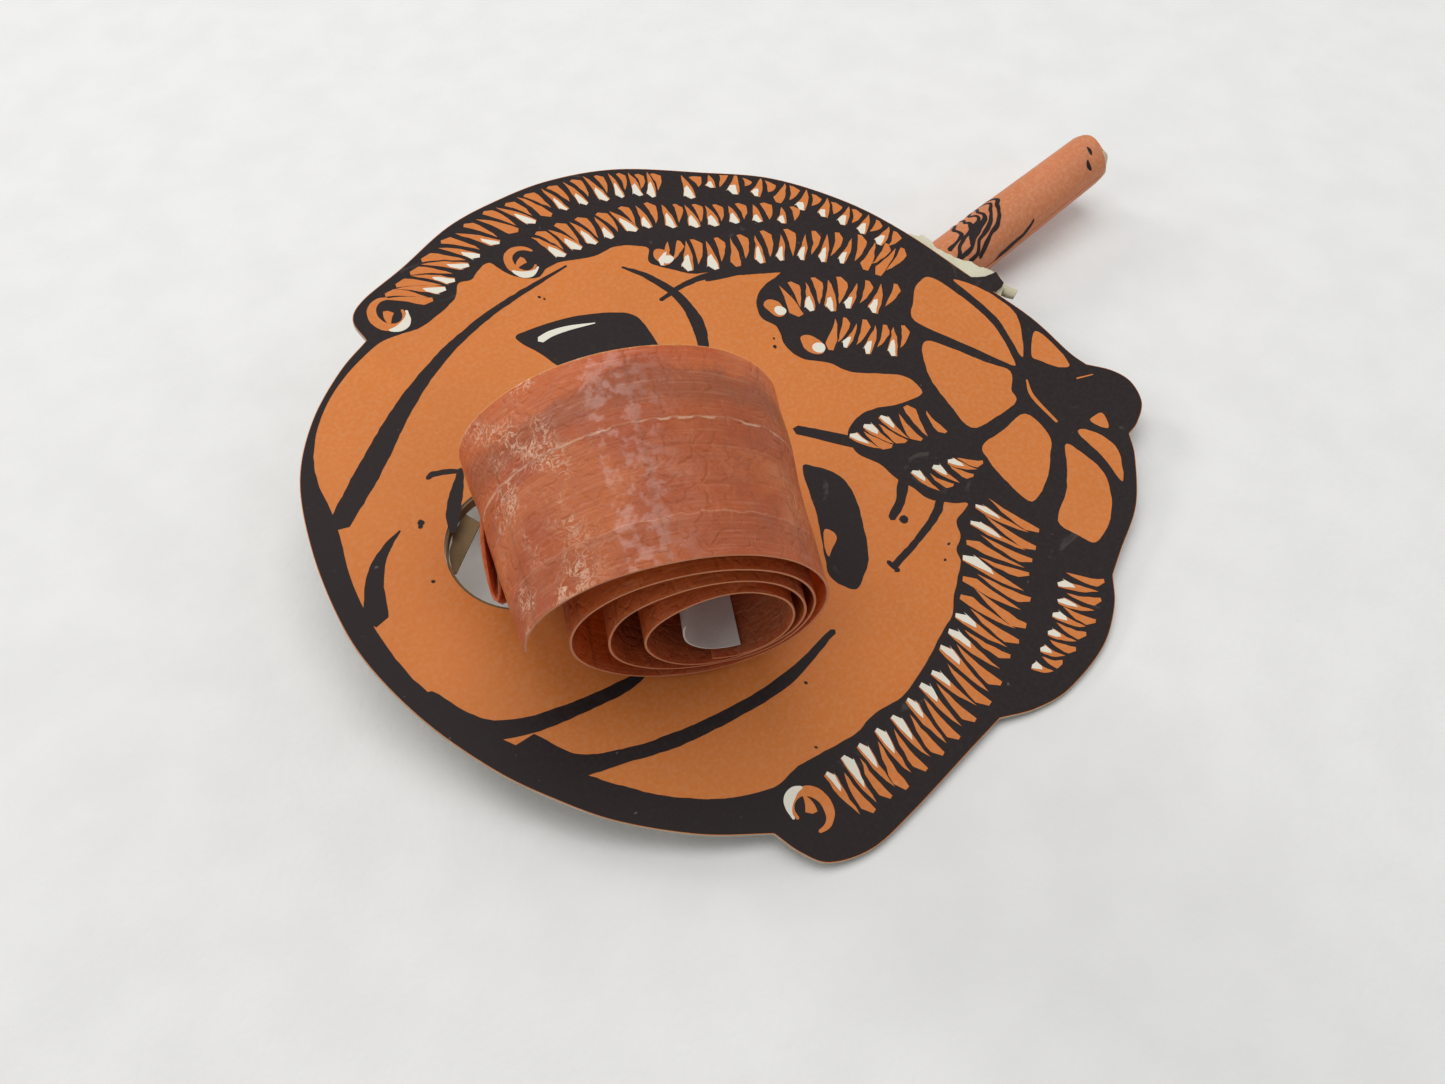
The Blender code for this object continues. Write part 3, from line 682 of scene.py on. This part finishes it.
def build_card_body():
    look = scene_look("blowout_card")
    bm = bmesh.new()
    thickness = look.thickness / MM
    add_plate(bm, [card_outline(), circle_points(HOLE_CENTRE, HOLE_RADIUS)], -thickness, 0)
    bmesh.ops.recalc_face_normals(bm, faces=bm.faces)
    rims = [edge for edge in bm.edges if edge.calc_face_angle(0) > radians(60)]
    bmesh.ops.bevel(bm, geom=rims, offset=0.09 * MM, segments=2, profile=0.5, affect="EDGES", material=-1,
                    clamp_overlap=True)
    for face in bm.faces:
        top = face.normal.z > 0.97 and face.calc_center_median().z > -0.05 * MM
        face.material_index = 0 if top else (2 if face.normal.z < -0.9 else 1)
    bmesh.ops.transform(bm, matrix=CARD_PLACE, verts=bm.verts)
    finish_piece("printed_card", bm, ["orange", "edge", "back"], "holder", 25, ["face_card"])


def plait_strands():
    """Yield every strand of the plaits: its root, head, width and bend, and whether its head is white."""
    edge = card_outline()
    for row, (line, count, reach, lean, side) in enumerate(PLAITS):
        curve = smooth_run([Vector(p) for p in line], 12) + [Vector(line[-1])]
        step = sum((b - a).length for a, b in zip(curve, curve[1:])) / count
        for i in range(2 * count):
            share = (i + 0.5) / (2 * count)
            at = share * (len(curve) - 1)
            index = min(int(at), len(curve) - 2)
            point = curve[index].lerp(curve[index + 1], at - index)
            along = (curve[index + 1] - curve[index]).normalized()
            across = Vector((-along.y, along.x)) * side
            shake = noise.noise((i * 1.7, row * 5.3, 0.4))
            tilt = lean[0] + (lean[1] - lean[0]) * share + 0.22 * shake
            way = across * cos(tilt) + along * sin(tilt)
            length = (reach[0] + (reach[1] - reach[0]) * share) * (1 + 0.16 * shake)
            white = i % 2 == 0
            ends = (-0.42, 0.52, 0.55) if white else (0.32, -0.52, 0.50)
            root = point + way * length * ends[0]
            head = point + way * length * ends[1]
            while min((head - p).length for p in edge) < 1.0 or min((root - p).length for p in edge) < 0.6:
                head = head.lerp(point, 0.1)
                root = root.lerp(point, 0.1)
            yield root, head, step * ends[2] * (1 + 0.25 * shake), 0.35 if white else -0.3, white


def curl_points(centre, radius, opening, start=0.0, turns=0.8, width=1.0, inwards=0.25):
    """A curled lock: a stroke that winds round from its opening."""
    line, widths = [], []
    for i in range(12):
        share = i / 11
        angle = radians(opening) + 2 * pi * (start + turns * share)
        size = radius * (0.86 - inwards * share)
        line.append((centre[0] + size * cos(angle) * 0.85, centre[1] + size * sin(angle)))
        widths.append(radius * width * 0.34 * (0.35 + sin(pi * min(share * 1.15, 1)) * 0.85))
    return stroke_points(line, widths, 3)


def print_layer(name, finish, shapes):
    """Lay flat shapes as one printing, neighbours at slightly different heights."""
    step = scene_look("blowout_card").ink_step / MM
    base = INK_BASES[finish]
    bm = bmesh.new()
    for count, loops in enumerate(shapes):
        add_plate(bm, loops, base * step, (base + 1 + 0.12 * (count % 5)) * step)
    lay_on_card(bm)
    finish_piece(name, bm, [finish], "holder")


def build_black_print():
    hair = inset_loop(card_outline(), 0.1)
    shapes = [[hair, rough_edge(smooth_loop(FACE_EDGE, 6), 0.12)]]
    shapes += [[rough_edge(smooth_loop(points, 6), 0.12)] for points in (LEFT_EYE, RIGHT_EYE)]
    shapes += [[rough_edge(stroke_points(line, widths, 8), 0.14)] for line, widths in FACE_STROKES]
    shapes += [[rough_edge(circle_points((u, v), radius, 10), 0.15, 2.0)] for u, v, radius in SPOTS]
    print_layer("black_print", "black", shapes)


def build_strip_nib():
    bm = bmesh.new()
    add_plate(bm, [rough_edge([Vector(p) for p in STRIP_NIB], 0.1)], *NIB_HEIGHTS)
    lay_on_card(bm)
    finish_piece("strip_nib", bm, ["black"], "holder")


def build_orange_print():
    shapes = [[rough_edge(smooth_loop(points, 5), 0.12)] for points in CAP_PANELS]
    shapes += [[stroke_points(line, widths)] for line, widths in PANEL_STROKES]
    shapes += [[keep_inside(rough_edge(leaf_points(root, head, width, bend), 0.2))]
               for root, head, width, bend, white in plait_strands()]
    for centre, radius, opening, wound in CURLS:
        middle = Vector(centre)
        if not wound:
            drop = [middle + (p - middle) @ Matrix(((0.62, 0.1), (-0.1, 0.95)))
                    for p in circle_points(centre, radius * 0.8, 24)]
            shapes.append([rough_edge(drop, 0.3, 0.5)])
            continue
        shapes.append([rough_edge(curl_points(centre, radius, opening), 0.1)])
        away = radians(opening + 180)
        tip = middle + Vector((cos(away), sin(away))) * radius * 0.3
        shapes.append([leaf_points(tip * 2 - middle, middle * 1.6 - tip * 0.6, radius * 0.5, 0.3)])
    shapes.append([smooth_loop(RIGHT_GLINT, 4)])
    print_layer("orange_print", "orange", shapes)


def build_white_print():
    shapes = [[stroke_points(*LEFT_GLINT)]]
    for count, (root, head, width, bend, white) in enumerate(plait_strands()):
        if not white or noise.noise((count * 0.77, 4.4, 0.5)) < -0.34:
            continue
        start = 0.48 + 0.22 * noise.noise((count * 1.3, 6.1, 0.5))
        fill = 0.86 + 0.3 * noise.noise((count * 0.9, 2.2, 0.5))
        leaf = leaf_points(root, head, width, bend, start, min(fill, 1))
        shapes.append([keep_inside(rough_edge(leaf, 0.12))])
    for centre, radius, opening, wound in CURLS:
        if wound:
            shapes.append([rough_edge(curl_points(centre, radius, opening, 0.48, 0.3, 0.95, 0.1), 0.08)])
        else:
            low = Vector(centre) + Vector((0.12, -0.36)) * radius
            shapes.append([rough_edge(circle_points(low, radius * 0.36, 16), 0.3, 0.5)])
    print_layer("white_print", "white", shapes)


# --- Mouthpiece ------------------------------------------------------------------------------

def facing(position, direction, side=Vector((0, 1, 0))):
    """A matrix at position whose Z runs along direction and whose Y is near side."""
    z = direction.normalized()
    x = side.cross(z).normalized()
    return Matrix.Translation(position) @ Matrix((x, z.cross(x), z)).transposed().to_4x4()


def ring_at(bm, place, radius_x, radius_y, sides, wobble=0.0):
    made = bmesh.ops.create_circle(bm, segments=sides, radius=1.0)
    if wobble:
        for vert in made["verts"]:
            vert.co *= 1 + wobble * noise.noise(vert.co * 1.6 + place.translation / MM * 0.4)
    bmesh.ops.transform(bm, matrix=place @ Matrix.Diagonal((radius_x, radius_y, 1, 1)), verts=made["verts"])
    return list({edge for vert in made["verts"] for edge in vert.link_edges})


def close_shell(bm, inner, outer):
    """Bridge two rows of rings into the walls of a tube, and close the rim at both its ends."""
    for a, b in zip(inner, inner[1:]):
        bmesh.ops.bridge_loops(bm, edges=a + b)
    bmesh.ops.reverse_faces(bm, faces=bm.faces[:])
    for a, b in [*zip(outer, outer[1:]), (outer[0], inner[0]), (outer[-1], inner[-1])]:
        bmesh.ops.bridge_loops(bm, edges=a + b)
    bmesh.ops.recalc_face_normals(bm, faces=bm.faces)


def hollow_tube(stations, wall, sides, wobble=0.0):
    """A tube open at both ends through stations, each a matrix and two outer radii."""
    bm = bmesh.new()
    outer = [ring_at(bm, place, rx, ry, sides, wobble) for place, rx, ry in stations]
    inner = [ring_at(bm, place, rx - wall, ry - wall, sides, wobble) for place, rx, ry in stations]
    close_shell(bm, inner, outer)
    return bm


def tube_axis(x):
    """Height of the tube's axis at a distance along it."""
    return TUBE_RADIUS + max(x - TUBE_BEND, 0) * tan(TUBE_RISE)


def tube_point(x, angle, lift=0.0):
    """A point on the tube at a length along it, an angle from its top and a height over its surface.

    Past the card the tube lies to one side and narrows towards its mouth.
    """
    out = min(max((x - 78) / 18, 0), 1)
    wide = TUBE_RADIUS + 0.33 * out - 0.55 * min(max((x - 108) / 30, 0), 1) + lift
    high = TUBE_RADIUS - 0.15 * out + lift
    return ORIGIN + Vector((x, 2.0 * out + wide * sin(angle), tube_axis(x) + high * cos(angle))) * MM


def build_mouthpiece_tube():
    stops = [TUBE_START, 40, 70, 78, 84, 90,
             TUBE_BEND - 1.2, TUBE_BEND - 0.4, TUBE_BEND + 0.4, TUBE_BEND + 1.2,
             115, 130, TUBE_END - 4.2, TUBE_END - 0.8, TUBE_END]
    rings = []
    bm = bmesh.new()
    for lift in (-TUBE_WALL, 0):
        for x in stops:
            made = bmesh.ops.create_circle(bm, segments=TUBE_SIDES, radius=1.0)
            for vert in made["verts"]:
                angle = atan2(vert.co.y, vert.co.x)
                worn = 0.5 * noise.noise((cos(angle) * 2, sin(angle) * 2, 0.3)) if x == TUBE_END else 0
                shrink = 0.2 if x in (TUBE_START, TUBE_END) and not lift else 0.0
                vert.co = tube_point(x + worn, angle, lift - shrink)
            rings.append(list({edge for vert in made["verts"] for edge in vert.link_edges}))
    close_shell(bm, rings[:len(stops)], rings[len(stops):])
    for face in bm.faces:
        middle = (face.calc_center_median() - ORIGIN) / MM
        torn = middle.x > TUBE_END - 0.5 and -4.8 < middle.y < 0.5
        face.material_index = 1 if abs(face.normal.x) > 0.8 or torn else 0
    finish_piece("rolled_mouthpiece", bm, ["tube", "tube_tip"], "holder", 30,
                 ["mouthpiece_tube"])


def wrap_on_tube(bm, lift):
    """Bend flat shapes, drawn along and round the tube in metres, on to its surface."""
    for vert in bm.verts:
        x, round_it, height = vert.co / MM
        vert.co = tube_point(x, round_it / TUBE_RADIUS, lift + height)


def build_tube_lines():
    bm = bmesh.new()
    for line, widths in TUBE_LINES:
        add_plate(bm, [rough_edge(stroke_points(line, widths, 8), 0.2, 0.6)], 0.0, 0.03)
    bmesh.ops.recalc_face_normals(bm, faces=bm.faces)
    wrap_on_tube(bm, 0.02)
    finish_piece("tube_hair_lines", bm, ["black"], "holder")


def build_tube_lap():
    """The free edge of the rolled sheet, glued down along the tube."""
    bm = bmesh.new()
    made = bmesh.ops.create_grid(bm, x_segments=60, y_segments=5, size=1.0)
    place = Matrix.Translation(LAP_MIDDLE) @ Matrix.Diagonal((*LAP_HALF_SIZE, 1, 1))
    bmesh.ops.transform(bm, matrix=place, verts=made["verts"])
    raise_faces(bm, bm.faces[:], 0.12 * MM)
    bmesh.ops.recalc_face_normals(bm, faces=bm.faces)
    wrap_on_tube(bm, -0.02)
    finish_piece("tube_lap", bm, ["tube"], "holder", 30)


def build_edge_strip():
    """The torn cream strip, its free end rolled up on itself."""
    bm = bmesh.new()
    torn = rough_edge(rough_edge(smooth_loop(STRIP_OUTLINE, 10), 0.8, 0.55), 0.35, 2.3)
    add_plate(bm, [torn], *STRIP_HEIGHTS)
    lay_on_card(bm)
    finish_piece("torn_strip", bm, ["cream"], "holder", 25, ["edge_strip"])
    stations = []
    for i in range(7):
        share = i / 6
        place = Vector((101.6 + 0.9 * share, -8.2 - 4.4 * share, -1.8 - 0.6 * sin(pi * share)))
        size = (1.15 - 0.25 * abs(share - 0.5)) * MM
        turned = CARD_PLACE @ facing(place * MM, Vector((0.35, -1, 0)), Vector((0, 0, 1)))
        stations.append((turned, size, size * 0.72))
    bm = hollow_tube(stations, 0.25 * MM, 24, 0.12)
    finish_piece("strip_rolled_end", bm, ["cream"], "holder", 40)


def build_collar():
    # Kraft collar inside the hole; its dark brown is partly painted shade
    radius = (HOLE_RADIUS - 0.12) * MM
    stations = [(CARD_PLACE @ Matrix.Translation((HOLE_CENTRE[0] * MM, HOLE_CENTRE[1] * MM, height * MM)),
                 radius, radius) for height in (-2.4, -1.3, -0.3)]
    bm = hollow_tube(stations, 0.3 * MM, 64)
    finish_piece("kraft_collar", bm, ["kraft"], "holder", 30, ["hole_collar"])


def build_flap():
    """The torn flap of kraft paper that crosses one side of the hole; its dark brown is partly painted shade."""
    bm = bmesh.new()
    rim = [p for p in circle_points(HOLE_CENTRE, HOLE_RADIUS - 0.5) if p.x < 5.0 and p.y > 0.8]
    add_plate(bm, [rough_edge([*rim, *(Vector(p) for p in FLAP_TEAR)], 0.5, 1.4)], *FLAP_HEIGHTS)
    lay_on_card(bm)
    finish_piece("kraft_flap", bm, ["kraft"], "holder")


# --- Roll ------------------------------------------------------------------------------------

def roll_point(k, across=0.0, lift=0.0):
    """A point on the rolled sheet: k links from its start, and a distance across its width."""
    wraps = k / LINKS_PER_TURN
    angle = START_ANGLE - 2 * pi * wraps
    broad = noise.noise((k * 0.55, across * 0.09, 1.7)) * 0.45
    fine = noise.noise((k * 1.9, across * 0.22, 4.2)) * 0.16
    grow = lift + (broad + fine)
    loose = max(1.9 - k, 0) / 1.9
    flare = loose ** 1.3 * (0.8 + 5.4 * min(max(across / ROLL_WIDTH + 0.5, 0), 1))
    x = -3.6 + 1.75 * wraps + (18.9 - 3.0 * wraps + grow) * cos(angle) - flare
    z = 17.7 - 1.15 * wraps + (17.3 - 2.3 * wraps + grow) * sin(angle) - 0.12 * flare
    return ROLL_PLACE @ (Vector((x, ROLL_WIDTH / 2 + across, z)) * MM)


def half_width(k):
    """Half the sheet's width, gathered at the throat."""
    gather = min(max((k + 0.35) / 0.4, 0), 1)
    return THROAT_HALF_WIDTH + (ROLL_WIDTH / 2 - THROAT_HALF_WIDTH) * gather * gather * (3 - 2 * gather)


def roll_strip(start, end, thickness, segments=40, lanes=16, narrow=0.0, lift=0.0):
    """A closed strip of paper that follows the roll from one link count to another, with its UV map."""
    bm = bmesh.new()
    layer = bm.loops.layers.uv.new("paper_run")
    bmesh.ops.create_grid(bm, x_segments=segments, y_segments=lanes, size=0.5)
    raise_faces(bm, bm.faces[:], 1)
    for face in bm.faces:
        heights = {round(vert.co.z) for vert in face.verts}
        # Side faces along the two long edges take the second finish: the pale rim, partly a painted highlight
        face.material_index = 1 if len(heights) > 1 and all(abs(vert.co.y) > 0.49 for vert in face.verts) else 0
        for loop in face.loops:
            loop[layer].uv = ((start + (end - start) * (loop.vert.co.x + 0.5)) * 0.5, loop.vert.co.y + 0.5)
    for vert in bm.verts:
        k = start + (end - start) * (vert.co.x + 0.5)
        share, side = vert.co.y * 2, vert.co.z - 0.5
        edge = noise.noise((k * 0.8, 9.3 + share, 0.2)) * 0.35 * abs(share)
        reach = share * (half_width(k) - narrow) - 0.8 * max(share, 0)
        vert.co = roll_point(k, reach + edge, lift + side * thickness / MM)
    bmesh.ops.recalc_face_normals(bm, faces=bm.faces)
    return bm


def body_name(link):
    return "holder" if link == 0 else f"link_{link:02d}"


def build_roll_sheets():
    look = scene_look("blowout_roll")
    for link in range(LINKS + 1):
        start = link - 0.5 if link else -0.42
        end = link + 0.5 if link < LINKS else LINKS + 0.9
        last = link == LINKS
        strip = roll_strip(start, end, look.thickness)
        body = body_name(link) if last else None
        replaced = [f"roll_link_{link:02d}"] if link else []
        piece = finish_piece(f"rolled_sheet_{link:02d}", strip, ["waxed", "rim"], body, 35, replaced)
        if not last:
            roll_point(start if link else -0.1)
            roll_point(end)
            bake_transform(piece)


def build_tip_seal():
    bm = roll_strip(LINKS + 0.35, LINKS + 2.2, 0.25 * MM, 40, 8, 1.2, -0.55)
    finish_piece("white_tip_seal", bm, ["seal", "seal"], f"link_{LINKS:02d}", 35, ["tip_seal"])


def build_throat():
    """Paper throat: round where it meets the tube, flattened and gathered where it meets the roll."""
    start = roll_point(0)
    away = (roll_point(0.2) - start).normalized()
    across = ROLL_PLACE.to_3x3() @ Vector((0, 1, 0))
    end = start - away * 1.0 * MM
    low = ORIGIN + Vector((11.0, 0.5, 6.0)) * MM
    waist = ORIGIN + Vector((6.8, 0.5, 11.5)) * MM
    tube_end = ORIGIN + Vector((TUBE_START - 0.3, 0, TUBE_RADIUS)) * MM
    stations = [
        (facing(tube_end, Vector((-1, 0, 0))), 3.5 * MM, 3.5 * MM),
        (facing(low + Vector((3, 0, -0.9)) * MM, Vector((-1, 0, 0.25))), 3.4 * MM, 3.5 * MM),
        (facing(low, Vector((-1, 0, 0.9))), 3.2 * MM, 3.7 * MM),
        (facing(waist, Vector((-0.6, -0.2, 1)), across), 2.6 * MM, 4.4 * MM),
        (facing((waist + end) / 2, end - waist, across), 1.9 * MM, 6.0 * MM),
        (facing(end, away, across), 1.0 * MM, 7.4 * MM),
    ]
    bm = hollow_tube(stations, 0.4 * MM, 48, 0.10)
    bmesh.ops.subdivide_edges(bm, edges=[e for e in bm.edges if e.calc_length() > 1.5 * MM], cuts=2, smooth=0.3)
    finish_piece("gathered_throat", bm, ["waxed"], "holder", 50, ["throat_sleeve"])


# --- Stage -----------------------------------------------------------------------------------

def floor_material(look):
    material, tree, shader, place = start_material("pale_floor")
    soft = noise_value(tree, place, 90.0, 4.0)
    fine = noise_value(tree, place, 900.0, 2.0)
    shade = (*(c * 0.96 for c in look.floor), 1)
    tone = mix_colour(tree, span_node(tree, soft, 0.3, 0.7), (*look.floor, 1), shade)
    tree.links.new(tone, shader.inputs["Base Color"])
    shader.inputs["Roughness"].default_value = 0.95
    shader.inputs["Specular IOR Level"].default_value = 0.1
    add_bump(tree, shader, fine, 0.0002, 0.3)
    return material


def build_floor(look):
    bm = bmesh.new()
    bmesh.ops.create_grid(bm, x_segments=2, y_segments=2, size=1.5)
    bmesh.ops.translate(bm, verts=bm.verts, vec=(0, 0, -0.0002))
    mesh = bpy.data.meshes.new("floor")
    bm.to_mesh(mesh)
    bm.free()
    mesh.materials.append(floor_material(look))
    floor = bpy.data.objects.new("floor", mesh)
    bpy.context.scene.collection.objects.link(floor)


def build_lamp(name, place, target, size, power):
    data = bpy.data.lights.new(name, "AREA")
    data.shape = "RECTANGLE"
    data.size, data.size_y = size
    data.energy = power
    lamp = bpy.data.objects.new(name, data)
    bpy.context.scene.collection.objects.link(lamp)
    aim = (Vector(target) - Vector(place)).to_track_quat("-Z", "Y")
    lamp.matrix_world = Matrix.Translation(place) @ aim.to_matrix().to_4x4()


def build_camera(look):
    down = look.camera_tilt
    heading = look.camera_heading
    forward = Vector((sin(heading) * cos(down), cos(heading) * cos(down), -sin(down)))
    level = Vector((cos(heading), -sin(heading), 0))
    rise = level.cross(forward)
    roll = look.camera_roll
    right = level * cos(roll) + rise * sin(roll)
    up = rise * cos(roll) - level * sin(roll)
    data = bpy.data.cameras.new("camera")
    data.lens = look.lens
    data.sensor_width = 36
    camera = bpy.data.objects.new("camera", data)
    bpy.context.scene.collection.objects.link(camera)
    turn = Matrix((right, up, -forward)).transposed().to_4x4()
    camera.matrix_world = Matrix.Translation(ORIGIN + Vector(CAMERA_PLACE) * MM) @ turn
    bpy.context.scene.camera = camera


# --- Settings --------------------------------------------------------------------------------

def colour_setting(name, description, default):
    return FloatVectorProperty(name=name, description=description, subtype="COLOR", size=3, min=0.0, max=1.0,
                               default=default)


class CardLook(PropertyGroup):
    thickness: FloatProperty(name="Thickness", description="Thickness of the card", unit="LENGTH",
                             default=0.7 * MM)
    ink_step: FloatProperty(name="Ink layer", description="Thickness of one layer of ink", unit="LENGTH",
                            default=0.02 * MM)
    orange_ink: colour_setting("Orange", "Orange ink of the face, panels and strands", (0.63, 0.185, 0.036))
    black_ink: colour_setting("Black", "Black ink of the hair and lines", (0.022, 0.015, 0.015))
    white_paper: colour_setting("White", "Unprinted paper of the strand tips", (0.76, 0.72, 0.60))
    bare_paper: colour_setting("Worn", "Paper that shows where ink has worn off", (0.70, 0.45, 0.26))


class TubeLook(PropertyGroup):
    paper: colour_setting("Paper", "Rolled paper of the mouthpiece", (0.58, 0.185, 0.075))


class RollLook(PropertyGroup):
    thickness: FloatProperty(name="Paper", description="Thickness of the flattened paper tube", unit="LENGTH",
                             default=0.3 * MM)
    paper: colour_setting("Paper", "Waxed paper where it is thin", (0.54, 0.125, 0.036))
    paper_deep: colour_setting("Deep", "Waxed paper where plies lie together", (0.40, 0.078, 0.022))
    paper_lap: colour_setting("Lap", "Waxed paper along its glued lap", (0.26, 0.070, 0.028))
    # Pale colour of seam edges and streaks, and of the painted highlight on the crinkles near the roll's start
    paper_pale_and_highlight: colour_setting("Pale", "Whitened creases and seam edges", (0.82, 0.44, 0.30))
    # Pale cut edge of the sheets, partly a painted highlight
    paper_rim_and_highlight: colour_setting("Rim", "Cut edge of the waxed paper", (0.66, 0.27, 0.14))


class StageLook(PropertyGroup):
    floor: colour_setting("Floor", "Colour of the floor", (0.80, 0.79, 0.765))
    lens: FloatProperty(name="Lens", description="Focal length of the camera in millimetres", default=30.15)
    camera_tilt: FloatProperty(name="Tilt", description="How far the camera looks down", subtype="ANGLE",
                               default=radians(53.9))
    camera_heading: FloatProperty(name="Heading", description="Camera's heading from +Y towards +X",
                                  subtype="ANGLE", default=radians(42.0))
    camera_roll: FloatProperty(name="Roll", description="Camera's roll", subtype="ANGLE", default=radians(0.31))
    top_power: FloatProperty(name="Top light", description="Power of the light overhead", subtype="POWER",
                             default=2.3)
    window_power: FloatProperty(name="Window light", description="Power of the small light behind",
                                subtype="POWER", default=1.5)
    side_power: FloatProperty(name="Side light", description="Power of each light at the side", subtype="POWER",
                              default=0.7)


# --- Operators -------------------------------------------------------------------------------

class BLOWOUT_OT_face_card(Operator):
    """Make the die-cut card with its hole"""
    bl_idname = "blowout.face_card"
    bl_label = "Face Card"

    def execute(self, context):
        build_card_body()
        build_collar()
        build_flap()
        return {"FINISHED"}


class BLOWOUT_OT_printing(Operator):
    """Lay the black, orange and white printing on the card"""
    bl_idname = "blowout.printing"
    bl_label = "Printing"

    def execute(self, context):
        build_black_print()
        build_strip_nib()
        build_orange_print()
        build_white_print()
        return {"FINISHED"}


class BLOWOUT_OT_mouthpiece(Operator):
    """Make the rolled mouthpiece, its printed lines and the torn strip that holds it"""
    bl_idname = "blowout.mouthpiece"
    bl_label = "Mouthpiece"

    def execute(self, context):
        build_mouthpiece_tube()
        build_tube_lines()
        build_tube_lap()
        build_edge_strip()
        return {"FINISHED"}


class BLOWOUT_OT_squeaker(Operator):
    """Give the squeaker's pieces inside the tube their finishes"""
    bl_idname = "blowout.squeaker"
    bl_label = "Squeaker"

    def execute(self, context):
        finishes = {"reed_seat": "kraft", "reed_body": "wood", "reed_wedge": "wood", "reed_tongue": "brass"}
        for node, finish in finishes.items():
            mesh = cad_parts[node].data
            mesh.materials.clear()
            mesh.materials.append(materials[finish])
        return {"FINISHED"}


class BLOWOUT_OT_paper_roll(Operator):
    """Make the throat, the rolled sheets and the white seal at the tip"""
    bl_idname = "blowout.paper_roll"
    bl_label = "Paper Roll"

    def execute(self, context):
        build_throat()
        build_roll_sheets()
        build_tip_seal()
        return {"FINISHED"}


class BLOWOUT_OT_stage(Operator):
    """Set the floor, the lights and the camera"""
    bl_idname = "blowout.stage"
    bl_label = "Stage"

    def execute(self, context):
        look = scene_look("blowout_stage")
        build_floor(look)
        build_lamp("top_light", (0.05, 0.12, 0.6), (0, 0, 0), (0.6, 0.5), look.top_power)
        build_lamp("window_light", (-0.2, 0.72, 0.38), (0.02, -0.02, 0.03), (0.22, 0.18), look.window_power)
        build_lamp("left_light", (-0.55, 0.1, 0.35), (0, 0, 0.01), (0.4, 0.4), look.side_power)
        build_lamp("right_light", (0.5, -0.2, 0.4), (0, 0, 0.01), (0.4, 0.4), look.side_power)
        world = bpy.data.worlds.new("studio")
        world.use_nodes = True
        world.node_tree.nodes["Background"].inputs["Color"].default_value = (0.93, 0.96, 1.0, 1)
        world.node_tree.nodes["Background"].inputs["Strength"].default_value = 0.33
        context.scene.world = world
        context.scene.view_settings.view_transform = "Standard"
        build_camera(look)
        return {"FINISHED"}


class BLOWOUT_PT_pieces(Panel):
    """Lists the steps that build the blow-out, and their settings"""
    bl_idname = "BLOWOUT_PT_pieces"
    bl_label = "Party Blow-out"
    bl_space_type = "VIEW_3D"
    bl_region_type = "UI"
    bl_category = "Blow-out"

    def draw(self, context):
        for step in STEPS:
            self.layout.operator(step.bl_idname)
        for name, group in LOOKS.items():
            box = self.layout.box()
            for setting in group.__annotations__:
                box.prop(getattr(context.scene, name), setting)


LOOKS = {"blowout_card": CardLook, "blowout_tube": TubeLook, "blowout_roll": RollLook,
         "blowout_stage": StageLook}
STEPS = (BLOWOUT_OT_face_card, BLOWOUT_OT_printing, BLOWOUT_OT_mouthpiece, BLOWOUT_OT_squeaker,
         BLOWOUT_OT_paper_roll, BLOWOUT_OT_stage)
CLASSES = (*LOOKS.values(), *STEPS, BLOWOUT_PT_pieces)


def register():
    for item in CLASSES:
        bpy.utils.register_class(item)
    for name, group in LOOKS.items():
        setattr(bpy.types.Scene, name, PointerProperty(type=group))


def unregister():
    for name in LOOKS:
        delattr(bpy.types.Scene, name)
    for item in reversed(CLASSES):
        bpy.utils.unregister_class(item)


def main():
    register()
    build_materials()
    bpy.ops.blowout.face_card()
    bpy.ops.blowout.printing()
    bpy.ops.blowout.mouthpiece()
    bpy.ops.blowout.squeaker()
    bpy.ops.blowout.paper_roll()
    bpy.ops.blowout.stage()


if __name__ == "__main__":
    main()
